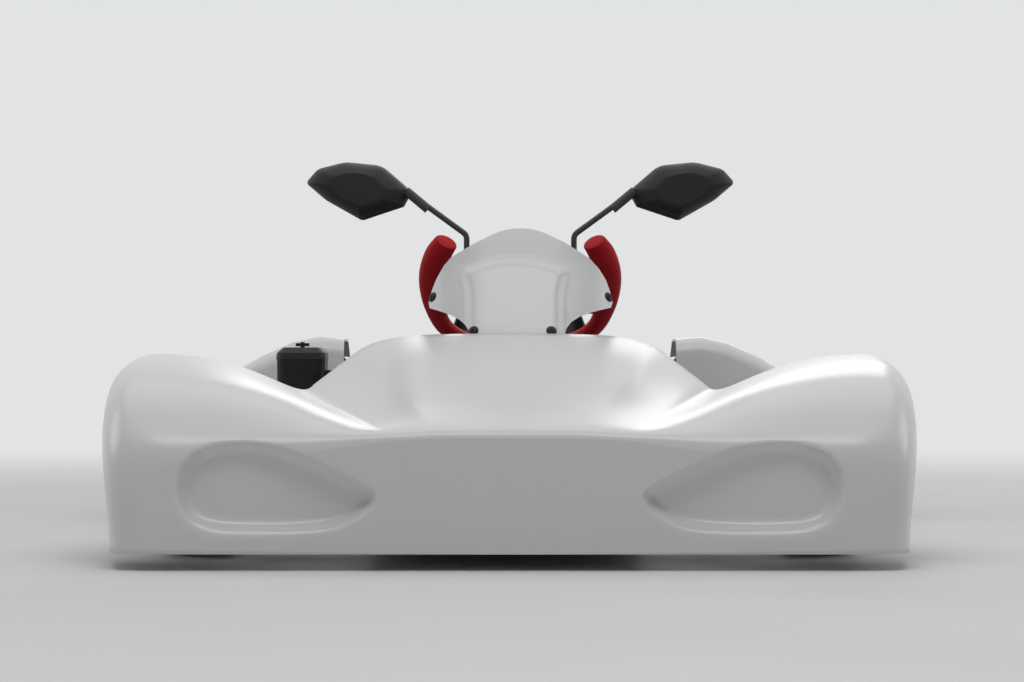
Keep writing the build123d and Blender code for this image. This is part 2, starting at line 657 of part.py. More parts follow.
# Fairing bracket: two uprights from the front cross tube, a bar between their tops, and pads on the fairing
BRACKET_R = 8
BRACKET_Y = WHEEL_HUB.Y - 138
BRACKET_X = 50
BRACKET_TOP = 500
MIRROR_STEM_X = 92
PAD_Z = (345, 470)
with BuildPart() as fairing_bracket:
    add_cylinder_x(
        STEER_X - MIRROR_STEM_X, STEER_X + MIRROR_STEM_X, BRACKET_Y, BRACKET_TOP, BRACKET_R + 1
    )
    for side, hand in SIDES:
        x = STEER_X + side * BRACKET_X
        add_bar(
            (x, BRACKET_Y, BRACKET_TOP),
            (x, FAIRING_LEVELS[0][1] + 40, FAIRING_LEVELS[0][0]),
            (x, FRONT_AXLE_Y, RAIL_Z),
            radius=BRACKET_R,
            bend=80,
        )
        for pad_z in PAD_Z:
            pad_y = FAIRING_LEVELS[0][1] + (pad_z - FAIRING_LEVELS[0][0]) * FAIRING_LEAN
            pad_y += FAIRING_RAISE + FAIRING_T
            add_bar((x, pad_y, pad_z), (x, pad_y + 34, pad_z), radius=6)
    add(cross_tubes.part, mode=Mode.SUBTRACT)
    add(whole_fairing.part, mode=Mode.SUBTRACT)
save(fairing_bracket, "fairing_bracket")

# Mirrors: tapered housings with their glasses, on bent stems from the bracket's bar
MIRROR_STEM_R = 5
MIRROR_BEND_Z = 529
MIRROR_SLEEVE = ((158, 573), (196, 604.7))  # ends of the adjusting sleeve on the stem
MIRROR_SLEEVE_R = 8
MIRROR_Y = (BRACKET_Y - 24, BRACKET_Y + 20)
MIRROR_LINE = (
    (200, 578), (186, 604), (238, 649), (300, 655), (348, 643), (369, 619), (334, 589), (272, 554),
)
MIRROR_RADII = (6, 8, 40, 60, 24, 7, 60, 12)
MIRROR_MIDDLE = (282, 607)
# Domed back: distance from the glass, share of the outline
MIRROR_LEVELS = ((0, 1), (12, 0.99), (24, 0.92), (35, 0.77), (43, 0.54))
GLASS_T = 2


def mirror_face(side, y, share=1.0, inset=0):
    """A mirror's outline across the kart, shrunk towards its middle."""
    ring = [(MIRROR_MIDDLE[0] + (x - MIRROR_MIDDLE[0]) * share, z) for x, z in MIRROR_LINE]
    ring = [(STEER_X + side * x, MIRROR_MIDDLE[1] + (z - MIRROR_MIDDLE[1]) * share) for x, z in ring]
    with BuildSketch(front_plane(y - FRONT_Y)) as face:
        with BuildLine() as line:
            FilletPolyline(*ring, radius=[r * share for r in MIRROR_RADII], close=True)
        make_face(line.edges())
        if inset:
            offset(amount=-inset)
    return face.sketch


with BuildPart() as mirror_housings:
    for side, hand in SIDES:
        loft([mirror_face(side, MIRROR_Y[1] - depth, share) for depth, share in MIRROR_LEVELS])
        extrude(mirror_face(side, MIRROR_Y[1], inset=5), amount=GLASS_T, mode=Mode.SUBTRACT)
save(mirror_housings, "mirror_housings")

with BuildPart() as mirror_glasses:
    for side, hand in SIDES:
        extrude(mirror_face(side, MIRROR_Y[1], inset=5), amount=GLASS_T)
save(mirror_glasses, "mirror_glasses")

with BuildPart() as mirror_stems:
    for side, hand in SIDES:
        x = STEER_X + side * MIRROR_STEM_X
        sleeve_ends = [(STEER_X + side * sx, BRACKET_Y, sz) for sx, sz in MIRROR_SLEEVE]
        add_bar(
            (x, BRACKET_Y, BRACKET_TOP - 12),
            (x, BRACKET_Y, MIRROR_BEND_Z),
            sleeve_ends[1],
            radius=MIRROR_STEM_R,
            bend=14,
        )
        add_bar(*sleeve_ends, radius=MIRROR_SLEEVE_R)
    add(mirror_housings.part, mode=Mode.SUBTRACT)
    add(fairing_bracket.part, mode=Mode.SUBTRACT)
save(mirror_stems, "mirror_stems")

# Side bars: two stubs from each rail and a long bar that carries the pod's posts
POD_POST_Y = (SIDE_BAR_Y[0] + 20, SIDE_BAR_Y[1] + 160)
with BuildPart() as side_bars:
    for side, hand in SIDES:
        for stub_y in SIDE_BAR_Y:
            add_cylinder_x(side * rail_x(stub_y), side * SIDE_BAR_X, stub_y, RAIL_Z, SIDE_STUB_R)
        add_bar(
            (side * SIDE_BAR_X, SIDE_BAR_Y[0] - 20, RAIL_Z),
            (side * SIDE_BAR_X, SIDE_BAR_Y[1] + 180, RAIL_Z),
            radius=SIDE_BAR_R,
        )
    add(rails, mode=Mode.SUBTRACT)

# Side pods: skins of top, outer side and ends. Sections from the front:
# distance along the kart, outer half width, top height
POD_SECTIONS = (
    (POD_Y[0], 588, 140),
    (POD_Y[0] + 110, 632, 188),
    (POD_Y[1] - 150, POD_X[1], 224),
    (POD_Y[1], POD_X[1] - 12, 232),
)
POD_RADII = (14, 40, 8, 8)


def pod_face(side, row, inset, open_by):
    """One closed cross-section of a side pod."""
    along, outer, top = row
    ring = (
        (POD_X[0] - open_by, top - 16 - inset),
        (outer - 22 - inset, top - inset),
        (outer - inset, BODY_CLEARANCE - open_by),
        (POD_X[0] - open_by, BODY_CLEARANCE - open_by),
    )
    with BuildSketch(Plane(origin=(0, along, 0), x_dir=(1, 0, 0), z_dir=(0, -1, 0))) as face:
        with BuildLine() as line:
            FilletPolyline(*[(side * x, z) for x, z in ring], radius=list(POD_RADII), close=True)
        make_face(line.edges())
    return face.sketch


pod_insides = []
for side, hand in SIDES:
    with BuildPart() as pod_inner:
        rows = [(POD_SECTIONS[0][0] + POD_T,) + POD_SECTIONS[0][1:]] + list(POD_SECTIONS[1:-1])
        rows.append((POD_SECTIONS[-1][0] - POD_T,) + POD_SECTIONS[-1][1:])
        loft([pod_face(side, row, POD_T, 14) for row in rows], ruled=True)
    with BuildPart() as pod:
        loft([pod_face(side, row, 0, 0) for row in POD_SECTIONS], ruled=True)
        add(pod_inner.part, mode=Mode.SUBTRACT)
    pod_insides.append(pod_inner.part)
    save(pod, f"side_pod_{hand}")

posts = []
for (side, hand), inside in zip(SIDES, pod_insides):
    for post_y in POD_POST_Y:
        with BuildPart() as post:
            add_bar(
                (side * SIDE_BAR_X, post_y, RAIL_Z), (side * SIDE_BAR_X, post_y, RAIL_Z + 300), radius=7
            )
            add(inside, mode=Mode.INTERSECT)
        posts.append(post.part)
with BuildPart() as pod_bars:
    add(side_bars.part)
    add(posts)
save(pod_bars, "side_bars")

# Rear fenders: arched skins in front of and over the rear tyres.
# Stations outwards: half width, crown height
FENDER_STATIONS = (
    (FENDER_X[0], 352), (372, 356), (424, 345), (484, 318), (530, 292), (FENDER_X[1], 286),
)
FENDER_RADII = (34, 60)
fenders = []
for side, hand in SIDES:
    with BuildPart() as fender:
        for half, crown in FENDER_STATIONS:
            with BuildSketch(Plane(origin=(side * half, 0, 0), x_dir=(0, 1, 0), z_dir=(1, 0, 0))):
                points = (
                    (FENDER_Y[0], REAR_AXLE_Z + 10),
                    (FENDER_Y[0] + 16, crown),
                    (REAR_AXLE_Y + 20, crown - 2),
                    (FENDER_Y[1], crown - 34),
                )
                make_face(wall_outline(points, FENDER_RADII, FENDER_T).edges())
        loft(ruled=True)
    fenders.append(fender.part)
    save(fender, f"rear_fender_{hand}")

# Rear bumper: a moulded bar behind the rear wheels
BUMPER_Z = (40, 165)
BUMPER_LINE = ((664, REAR_AXLE_Y + 222), (634, REAR_Y - 24), (330, REAR_Y), (-330, REAR_Y),
               (-634, REAR_Y - 24), (-664, REAR_AXLE_Y + 222))
with BuildPart() as bumper:
    with BuildSketch(Plane.XY.offset(BUMPER_Z[0])):
        make_face(wall_outline(BUMPER_LINE[::-1], (60, 300, 300, 60), BUMPER_T).edges())
    extrude(amount=BUMPER_Z[1] - BUMPER_Z[0])
    fillet(bumper.faces().sort_by(Axis.Z)[-1].edges(), 12)
    fillet(bumper.faces().sort_by(Axis.Z)[0].edges(), 12)
save(bumper, "rear_bumper")


def tyre_face(x0, width, radius):
    """Half cross-section of a tyre, from the rim's bead seat to the tread, in the plane of X and Z."""
    with BuildSketch(Plane(origin=(x0, 0, 0), x_dir=(1, 0, 0), z_dir=(0, -1, 0))) as face:
        with BuildLine() as line:
            FilletPolyline(
                (-width / 2 + 14, RIM_R),
                (-width / 2 + 4, RIM_R + 22),
                (-width / 2, radius - 16),
                (-width / 2 + 18, radius),
                (width / 2 - 18, radius),
                (width / 2, radius - 16),
                (width / 2 - 4, RIM_R + 22),
                (width / 2 - 14, RIM_R),
                radius=[0, 14, 20, 20, 14, 0],
            )
            Line((-width / 2 + 14, RIM_R), (width / 2 - 14, RIM_R))
        make_face(line.edges())
    return face.sketch


def rim_face(x0, width, web, hub_half, bore):
    """Half cross-section of a rim: barrel with two flanges, web and hub."""
    with BuildSketch(Plane(origin=(x0, 0, 0), x_dir=(1, 0, 0), z_dir=(0, -1, 0))) as face:
        with BuildLine() as line:
            edge = width / 2 - 14
            Polyline(
                (-edge, RIM_R),
                (-edge, RIM_FLANGE_R),
                (-edge - RIM_FLANGE_T, RIM_FLANGE_R),
                (-edge - RIM_FLANGE_T, RIM_R - RIM_WALL),
                (web - 4, RIM_R - RIM_WALL),
                (web - 4, HUB_R),
                (-hub_half, HUB_R),
                (-hub_half, bore),
                (hub_half, bore),
                (hub_half, HUB_R),
                (web + 4, HUB_R),
                (web + 4, RIM_R - RIM_WALL),
                (edge + RIM_FLANGE_T, RIM_R - RIM_WALL),
                (edge + RIM_FLANGE_T, RIM_FLANGE_R),
                (edge, RIM_FLANGE_R),
                (edge, RIM_R),
                close=True,
            )
        make_face(line.edges())
    return face.sketch


FRONT_AXIS = Axis((0, FRONT_AXLE_Y, FRONT_AXLE_Z), (1, 0, 0))
REAR_AXIS = Axis((0, REAR_AXLE_Y, REAR_AXLE_Z), (1, 0, 0))
FRONT_HUB_HALF = (HUB_X[1] - HUB_X[0]) / 2


def spin(face, axis):
    """Revolve a half cross-section, drawn on the plane of X and Z, about a wheel's axis."""
    start = Location((0, axis.position.Y, axis.position.Z))
    revolve(start * face, axis=axis)


for side, hand in SIDES:
    with BuildPart() as rim:
        spin(rim_face(side * FRONT_WHEEL_X, FRONT_TYRE_W, 0, FRONT_HUB_HALF, STUB_R + PIN_GAP), FRONT_AXIS)
        web_x = side * FRONT_WHEEL_X
        cut_ring_x(web_x - 10, web_x + 10, FRONT_AXLE_Y, FRONT_AXLE_Z, RIM_RING_R, RIM_HOLE_R, RIM_HOLES)
    save(rim, f"front_rim_{hand}")
    with BuildPart() as tyre:
        spin(tyre_face(side * FRONT_WHEEL_X, FRONT_TYRE_W, FRONT_TYRE_R), FRONT_AXIS)
        add(rim.part, mode=Mode.SUBTRACT)
    save(tyre, f"front_tyre_{hand}")

# Live rear axle with its wheels, sprocket and brake disc
REAR_HUB_HALF = 60
REAR_WEB = 30
AXLE_END = REAR_WHEEL_X + REAR_HUB_HALF - 4
with BuildPart() as axle:
    add_cylinder_x(-AXLE_END, AXLE_END, REAR_AXLE_Y, REAR_AXLE_Z, AXLE_R)
save(axle, "rear_axle")

with BuildPart() as rear_rims:
    for side, hand in SIDES:
        spin(
            rim_face(side * REAR_WHEEL_X, REAR_TYRE_W, side * REAR_WEB, REAR_HUB_HALF, AXLE_R), REAR_AXIS
        )
        web_x = side * (REAR_WHEEL_X + REAR_WEB)
        cut_ring_x(web_x - 10, web_x + 10, REAR_AXLE_Y, REAR_AXLE_Z, RIM_RING_R, RIM_HOLE_R, RIM_HOLES)
save(rear_rims, "rear_rims")

with BuildPart() as rear_tyres:
    for side, hand in SIDES:
        spin(tyre_face(side * REAR_WHEEL_X, REAR_TYRE_W, REAR_TYRE_R), REAR_AXIS)
    add(rear_rims.part, mode=Mode.SUBTRACT)
save(rear_tyres, "rear_tyres")

with BuildPart() as disc:
    add_cylinder_x(DISC_X - DISC_T / 2, DISC_X + DISC_T / 2, REAR_AXLE_Y, REAR_AXLE_Z, DISC_R)
    add_cylinder_x(DISC_X - 18, DISC_X + 6, REAR_AXLE_Y, REAR_AXLE_Z, AXLE_R + 14)
    add_cylinder_x(DISC_X - 40, DISC_X + 40, REAR_AXLE_Y, REAR_AXLE_Z, AXLE_R, mode=Mode.SUBTRACT)
    for ring_r in (DISC_R - 24, DISC_R - 11):
        cut_ring_x(DISC_X - 40, DISC_X + 40, REAR_AXLE_Y, REAR_AXLE_Z, ring_r, 4, 16)
save(disc, "brake_disc")

# Chain drive: pitch radii follow from the pitch and the numbers of teeth
AXLE_PITCH_R = CHAIN_PITCH / 2 / sin(pi / AXLE_TEETH)
CRANK_PITCH_R = CHAIN_PITCH / 2 / sin(pi / CRANK_TEETH)
with BuildPart() as sprocket:
    add_cylinder_x(
        CHAIN_X - SPROCKET_T / 2, CHAIN_X + SPROCKET_T / 2, REAR_AXLE_Y, REAR_AXLE_Z, AXLE_PITCH_R - 5
    )
    add_cylinder_x(CHAIN_X - 16, CHAIN_X + 6, REAR_AXLE_Y, REAR_AXLE_Z, AXLE_R + 14)
    add_cylinder_x(CHAIN_X - 40, CHAIN_X + 40, REAR_AXLE_Y, REAR_AXLE_Z, AXLE_R, mode=Mode.SUBTRACT)
    cut_ring_x(CHAIN_X - 40, CHAIN_X + 40, REAR_AXLE_Y, REAR_AXLE_Z, AXLE_PITCH_R * 0.64, 15, 6)
save(sprocket, "axle_sprocket")

CHAIN_W = 14
CHAIN_H = 11
with BuildPart() as chain:
    with BuildSketch(Plane.YZ.offset(CHAIN_X - CHAIN_W / 2)):
        with BuildSketch(Plane.XY, mode=Mode.PRIVATE) as loop_out:
            with Locations((REAR_AXLE_Y, REAR_AXLE_Z)):
                Circle(AXLE_PITCH_R + CHAIN_H / 2)
            with Locations((CRANK_Y, CRANK_Z)):
                Circle(CRANK_PITCH_R + CHAIN_H / 2)
            make_hull()
        with BuildSketch(Plane.XY, mode=Mode.PRIVATE) as loop_in:
            with Locations((REAR_AXLE_Y, REAR_AXLE_Z)):
                Circle(AXLE_PITCH_R - CHAIN_H / 2 + 1.5)
            with Locations((CRANK_Y, CRANK_Z)):
                Circle(CRANK_PITCH_R - CHAIN_H / 2)
            make_hull()
        add(loop_out.sketch)
        add(loop_in.sketch, mode=Mode.SUBTRACT)
    extrude(amount=CHAIN_W)
save(chain, "chain")

# Axle bearing carriers on the rails
with BuildPart() as bearings:
    for side, hand in SIDES:
        with BuildSketch(Plane.YZ.offset(side * RAIL_REAR_X - BEARING_W / 2)):
            with Locations((REAR_AXLE_Y, REAR_AXLE_Z)):
                Circle(46)
            with Locations((REAR_AXLE_Y, (RAIL_Z + REAR_AXLE_Z) / 2)):
                Rectangle(BEARING_D, REAR_AXLE_Z - RAIL_Z)
            with Locations((REAR_AXLE_Y, REAR_AXLE_Z)):
                Circle(AXLE_R + PIN_GAP, mode=Mode.SUBTRACT)
        extrude(amount=BEARING_W)
    add(rails, mode=Mode.SUBTRACT)
save(bearings, "axle_bearings")

# Brake caliper on the left bearing carrier
CALIPER_IN_X = RAIL_REAR_X - BEARING_W / 2
with BuildPart() as caliper:
    with BuildSketch(Plane.YZ.offset(CALIPER_IN_X)):
        with Locations((REAR_AXLE_Y - DISC_R + 20, REAR_AXLE_Z)):
            RectangleRounded(76, 84, 14)
    extrude(amount=-(CALIPER_IN_X - DISC_X + DISC_T / 2 + CALIPER_GAP + 24))
    add_cylinder_x(
        DISC_X - DISC_T / 2 - CALIPER_GAP,
        DISC_X + DISC_T / 2 + CALIPER_GAP,
        REAR_AXLE_Y,
        REAR_AXLE_Z,
        DISC_R + CALIPER_GAP,
        mode=Mode.SUBTRACT,
    )
    add_cylinder_x(0, RAIL_REAR_X, REAR_AXLE_Y, REAR_AXLE_Z, AXLE_R + 22, mode=Mode.SUBTRACT)
save(caliper, "brake_caliper")

# Seat mounts: two tabs from the rails and two stays from the bearing carriers
with BuildPart() as seat_mounts:
    for side, hand in SIDES:
        with Locations((side * (RAIL_REAR_X + 150) / 2, REAR_AXLE_Y - 400, RAIL_Z + TUBE_R + 2)):
            Box(RAIL_REAR_X - 150, 40, 4)
        add_bar(
            (side * RAIL_REAR_X, REAR_AXLE_Y - 10, REAR_AXLE_Z + 30),
            (side * RAIL_REAR_X, REAR_AXLE_Y - 30, 310),
            (SEAT_X + side * 110, REAR_AXLE_Y - 90, 345),
            radius=9,
            bend=50,
        )
    add(seat_outer.part, mode=Mode.SUBTRACT)
    add(bearings.part, mode=Mode.SUBTRACT)
save(seat_mounts, "seat_mounts")

# Engine: an air-cooled single with a finned cylinder, a fan housing outboard and a clutch inboard
ENGINE_X = (-404, -268)
ENGINE_Z = 90
MOUNT_T = 12
with BuildPart() as engine_mount:
    with Locations(((ENGINE_X[0] + RAIL_REAR_X * -1) / 2 + 20, CRANK_Y, ENGINE_Z - MOUNT_T / 2)):
        Box(190, 190, MOUNT_T)
    with Locations((-RAIL_REAR_X, CRANK_Y, (RAIL_Z + ENGINE_Z - MOUNT_T) / 2)):
        Box(40, 120, ENGINE_Z - MOUNT_T - RAIL_Z)
    add(rails, mode=Mode.SUBTRACT)
save(engine_mount, "engine_mount")

FIN_COUNT = 7
FIN_STEP = 13
CYLINDER_TILT = 25
FAN_R = 88
with BuildPart() as engine:
    with BuildSketch(Plane.XY.offset(ENGINE_Z)):
        with Locations(((ENGINE_X[0] + ENGINE_X[1]) / 2, CRANK_Y + 10)):
            RectangleRounded(ENGINE_X[1] - ENGINE_X[0], 170, 20)
    extrude(amount=CRANK_Z + 45 - ENGINE_Z)
    barrel_axis = Vector(0, -sin(radians(CYLINDER_TILT)), cos(radians(CYLINDER_TILT)))
    barrel_foot = Vector((ENGINE_X[0] + ENGINE_X[1]) / 2 + 12, CRANK_Y - 30, CRANK_Z + 10)
    barrel_plane = Plane(barrel_foot, x_dir=(1, 0, 0), z_dir=barrel_axis)
    with BuildSketch(barrel_plane):
        Rectangle(74, 74)
    extrude(amount=FIN_STEP * (FIN_COUNT - 1))
    for i in range(FIN_COUNT):
        with BuildSketch(barrel_plane.offset(i * FIN_STEP)):
            RectangleRounded(112, 112, 10)
        extrude(amount=5)
    add_cylinder_x(ENGINE_X[0], ENGINE_X[0] - 56, CRANK_Y + 10, CRANK_Z, FAN_R)
    add_cylinder_x(ENGINE_X[0] - 56, ENGINE_X[0] - 66, CRANK_Y + 10, CRANK_Z, FAN_R - 26)
    add_cylinder_x(ENGINE_X[1], CHAIN_X + SPROCKET_T / 2, CRANK_Y, CRANK_Z, 10)
save(engine, "engine")

with BuildPart() as clutch:
    add_cylinder_x(ENGINE_X[1] + 4, CHAIN_X - 10, CRANK_Y, CRANK_Z, 46)
    root = CRANK_PITCH_R - CHAIN_H / 2 - RUN_GAP
    add_cylinder_x(CHAIN_X - 11, CHAIN_X + SPROCKET_T / 2, CRANK_Y, CRANK_Z, root)
    add(engine.part, mode=Mode.SUBTRACT)
save(clutch, "clutch")

# Air cleaner on the engine's top: a tapered box with a lid, a raised front panel and a wing nut
CLEANER_X = (-438, -344)
CLEANER_Y = (CRANK_Y - 100, CRANK_Y + 12)
CLEANER_Z = (232, 335)
LID_T = 22
PANEL_T = 5
with BuildPart() as cleaner:
    middle = (sum(CLEANER_X) / 2, sum(CLEANER_Y) / 2)
    wide = CLEANER_X[1] - CLEANER_X[0]
    long = CLEANER_Y[1] - CLEANER_Y[0]
    with BuildSketch(Plane.XY.offset(CLEANER_Z[0])):
        with Locations(middle):
            RectangleRounded(wide - 6, long - 6, 14)
    extrude(amount=CLEANER_Z[1] - LID_T - CLEANER_Z[0], taper=-1)
    for drop, inset, corner in ((LID_T, 0, 16), (10, 2, 16), (0, 13, 10)):
        height = CLEANER_Z[1] - drop
        with BuildSketch(Plane.XY.offset(height)):
            with Locations(middle):
                RectangleRounded(wide - 2 * inset, long - 2 * inset, corner)
    loft(ruled=True)
    with Locations((middle[0] - 4, CLEANER_Y[0] + 1, CLEANER_Z[0] + 34)):
        Box(wide * 0.6, 2 * PANEL_T, 44)
    with Locations((CLEANER_X[1] - 4, middle[1] - 20, CLEANER_Z[0] + 30)):
        Cylinder(20, 60)
    with Locations((*middle, CLEANER_Z[1] + 5)):
        Cylinder(4, 10)
        Box(26, 5, 6)
    add(engine.part, mode=Mode.SUBTRACT)
save(cleaner, "air_cleaner")

with BuildPart() as muffler:
    with BuildSketch(Plane.XY.offset(CRANK_Z + 45)):
        with Locations((ENGINE_X[1] - 62, CRANK_Y + 62)):
            RectangleRounded(110, 66, 18)
    extrude(amount=62)
    fillet(muffler.faces().sort_by(Axis.Z)[-1].edges(), 14)
    add_bar(
        (ENGINE_X[1] - 62, CRANK_Y + 62, CRANK_Z + 80),
        (ENGINE_X[1] + 14, CRANK_Y + 62, CRANK_Z + 80),
        radius=11,
    )
save(muffler, "muffler")

# Chain guard over the upper run
GUARD_T = 3
GUARD_X = (CHAIN_X - 32, CHAIN_X + 16)
with BuildPart() as guard:
    with BuildSketch(Plane.YZ.offset(GUARD_X[0])):
        with BuildLine():
            FilletPolyline(
                (CRANK_Y - 20, CRANK_Z + 52),
                (REAR_AXLE_Y - 30, REAR_AXLE_Z + AXLE_PITCH_R + 22),
                (REAR_AXLE_Y + AXLE_PITCH_R, REAR_AXLE_Z + AXLE_PITCH_R - 20),
                radius=60,
            )
            offset(amount=GUARD_T, side=Side.LEFT)
        make_face()
    extrude(amount=GUARD_X[1] - GUARD_X[0])
    add_bar(
        (-RAIL_REAR_X + BEARING_W / 2, REAR_AXLE_Y, REAR_AXLE_Z + 36),
        (GUARD_X[0] + 6, REAR_AXLE_Y, REAR_AXLE_Z + 36),
        (GUARD_X[0] + 6, REAR_AXLE_Y, REAR_AXLE_Z + AXLE_PITCH_R + 20),
        radius=5,
        bend=7,
    )
save(guard, "chain_guard")

# Fuel tank on the floor tray, under the steering column
with BuildPart() as tank:
    with BuildSketch(Plane.XY.offset(TRAY_TOP)):
        with Locations((STEER_X, WHEEL_HUB.Y - 78)):
            RectangleRounded(170, 164, 30)
    extrude(amount=120)
    fillet(tank.faces().sort_by(Axis.Z)[-1].edges(), 22)
    with Locations((STEER_X - 40, WHEEL_HUB.Y - 40, TRAY_TOP + 126)):
        Cylinder(24, 20)
save(tank, "fuel_tank")

# Pedals and the brake master cylinder
PEDAL_X = 150
PEDAL_Y = FRONT_AXLE_Y - 110
with BuildPart() as pedals:
    for side, hand in SIDES:
        x = side * PEDAL_X
        add_bar(
            (x, PEDAL_Y, TRAY_TOP), (x, PEDAL_Y, 170), (x, PEDAL_Y + 40, 235), radius=7, bend=40
        )
        with Locations((x, PEDAL_Y + 36, 222)):
            Box(90, 12, 50)
save(pedals, "pedals")

with BuildPart() as master_cylinder:
    with Locations((PEDAL_X + 5, FRONT_AXLE_Y + 88, TRAY_TOP + 18)):
        Box(44, 110, 36)
save(master_cylinder, "master_cylinder")

# Fender stays from the bearing carriers
with BuildPart() as fender_stays:
    for side, hand in SIDES:
        add_bar(
            (side * (RAIL_REAR_X + 8), REAR_AXLE_Y + 30, REAR_AXLE_Z + 20),
            (side * (RAIL_REAR_X + 8), REAR_AXLE_Y + 30, 270),
            (side * (FENDER_X[0] + 30), REAR_AXLE_Y - 20, 330),
            (side * (FENDER_X[0] + 30), REAR_AXLE_Y - 20, 352),
            radius=7,
            bend=20,
        )
    add(bearings.part, mode=Mode.SUBTRACT)
    add(fenders, mode=Mode.SUBTRACT)
save(fender_stays, "fender_stays")
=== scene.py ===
"""Looks of the racing kart: its finishes, its fine pieces, the floor, the light and the camera."""

import json
from math import acos, atan2, cos, pi, radians, sin, sqrt

import bmesh
import bpy
from mathutils import Matrix, Vector
from mathutils.bvhtree import BVHTree


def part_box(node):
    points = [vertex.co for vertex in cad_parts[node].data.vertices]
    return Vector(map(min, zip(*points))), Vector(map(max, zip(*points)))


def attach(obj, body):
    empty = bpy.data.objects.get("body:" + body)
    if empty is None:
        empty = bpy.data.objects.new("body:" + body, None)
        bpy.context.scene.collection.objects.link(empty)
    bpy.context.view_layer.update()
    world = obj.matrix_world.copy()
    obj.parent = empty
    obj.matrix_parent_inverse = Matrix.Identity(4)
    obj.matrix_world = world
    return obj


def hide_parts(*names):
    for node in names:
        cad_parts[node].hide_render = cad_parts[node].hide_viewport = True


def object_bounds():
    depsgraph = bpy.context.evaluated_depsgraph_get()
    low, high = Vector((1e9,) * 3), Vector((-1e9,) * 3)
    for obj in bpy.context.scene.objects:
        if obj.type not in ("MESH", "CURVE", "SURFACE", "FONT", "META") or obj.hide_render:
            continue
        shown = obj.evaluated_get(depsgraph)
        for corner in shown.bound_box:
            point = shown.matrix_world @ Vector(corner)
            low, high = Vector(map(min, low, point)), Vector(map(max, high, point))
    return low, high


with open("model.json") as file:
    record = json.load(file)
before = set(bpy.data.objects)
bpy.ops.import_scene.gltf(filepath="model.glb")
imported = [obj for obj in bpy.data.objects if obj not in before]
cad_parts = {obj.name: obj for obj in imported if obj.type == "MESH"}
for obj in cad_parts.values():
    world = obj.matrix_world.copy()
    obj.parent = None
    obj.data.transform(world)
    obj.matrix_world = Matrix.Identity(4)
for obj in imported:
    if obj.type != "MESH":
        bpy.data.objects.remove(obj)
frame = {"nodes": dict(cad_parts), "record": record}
nodes = frame["nodes"]
cad_box = [list(corner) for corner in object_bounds()]

MM = 0.001  # sizes of the pieces are written in millimetres
X_AXIS, Z_AXIS = Vector((1, 0, 0)), Vector((0, 0, 1))

# ---- Finishes

NOISE_RANGE = (0.12, 0.88)  # values of the noise at which a finish reaches its two ends
COAT_ROUGHNESS = 0.22


def new_material(name):
    """A material with its node tree and its shader."""
    mat = bpy.data.materials.new(name)
    mat.use_nodes = True
    return mat, mat.node_tree, mat.node_tree.nodes["Principled BSDF"]


def noise(tree, scale, detail=4.0, rough=0.55, stretch=(1, 1, 1)):
    """A noise texture in object coordinates, scale in cycles per metre."""
    coord = tree.nodes.new("ShaderNodeTexCoord")
    mapping = tree.nodes.new("ShaderNodeMapping")
    mapping.inputs["Scale"].default_value = stretch
    tex = tree.nodes.new("ShaderNodeTexNoise")
    tex.inputs["Scale"].default_value = scale
    tex.inputs["Detail"].default_value = detail
    tex.inputs["Roughness"].default_value = rough
    tree.links.new(coord.outputs["Object"], mapping.inputs["Vector"])
    tree.links.new(mapping.outputs["Vector"], tex.inputs["Vector"])
    return tex.outputs["Fac"]


def ramp(tree, value, low, high):
    """A colour that runs between two tones with a noise value."""
    node = tree.nodes.new("ShaderNodeValToRGB")
    node.color_ramp.interpolation = "EASE"
    for element, position, colour in zip(node.color_ramp.elements, NOISE_RANGE, (low, high)):
        element.position = position
        element.color = (*colour, 1)
    tree.links.new(value, node.inputs["Fac"])
    return node.outputs["Color"]


def spread(tree, value, start, end, low=0.0, high=1.0):
    """A number that runs smoothly from low to high while a value runs from start to end."""
    node = tree.nodes.new("ShaderNodeMapRange")
    node.interpolation_type = "SMOOTHSTEP"
    for name, number in (("From Min", start), ("From Max", end), ("To Min", low), ("To Max", high)):
        node.inputs[name].default_value = number
    tree.links.new(value, node.inputs["Value"])
    return node.outputs["Result"]


def bump(tree, shader, height, strength, distance):
    """A bump on a shader, distance in metres."""
    node = tree.nodes.new("ShaderNodeBump")
    node.inputs["Strength"].default_value = strength
    node.inputs["Distance"].default_value = distance
    tree.links.new(height, node.inputs["Height"])
    tree.links.new(node.outputs["Normal"], shader.inputs["Normal"])


def surface(name, low, high, rough, metal=0.0, tone=9.0, grain=900.0, depth=0.00004, strength=0.3,
            stretch=(1, 1, 1), coat=0.0, shine=0.5, detail=4.0):
    """A material with a slow change of tone and gloss, and a fine grain."""
    mat, tree, shader = new_material(name)
    tree.links.new(ramp(tree, noise(tree, tone, detail), low, high), shader.inputs["Base Color"])
    gloss = spread(tree, noise(tree, tone * 3.1, detail), *NOISE_RANGE, *rough)
    tree.links.new(gloss, shader.inputs["Roughness"])
    shader.inputs["Metallic"].default_value = metal
    shader.inputs["Specular IOR Level"].default_value = shine
    shader.inputs["Coat Weight"].default_value = coat
    shader.inputs["Coat Roughness"].default_value = COAT_ROUGHNESS
    bump(tree, shader, noise(tree, grain, 2.0, 0.5, stretch), strength, depth)
    return mat


def mirror_glass():
    """Silvered glass, almost even."""
    mat, tree, shader = new_material("mirror_glass")
    tint = ramp(tree, noise(tree, 14.0), (0.78, 0.80, 0.81), (0.86, 0.88, 0.89))
    tree.links.new(tint, shader.inputs["Base Color"])
    gloss = spread(tree, noise(tree, 40.0), *NOISE_RANGE, 0.02, 0.06)
    tree.links.new(gloss, shader.inputs["Roughness"])
    shader.inputs["Metallic"].default_value = 1.0
    return mat


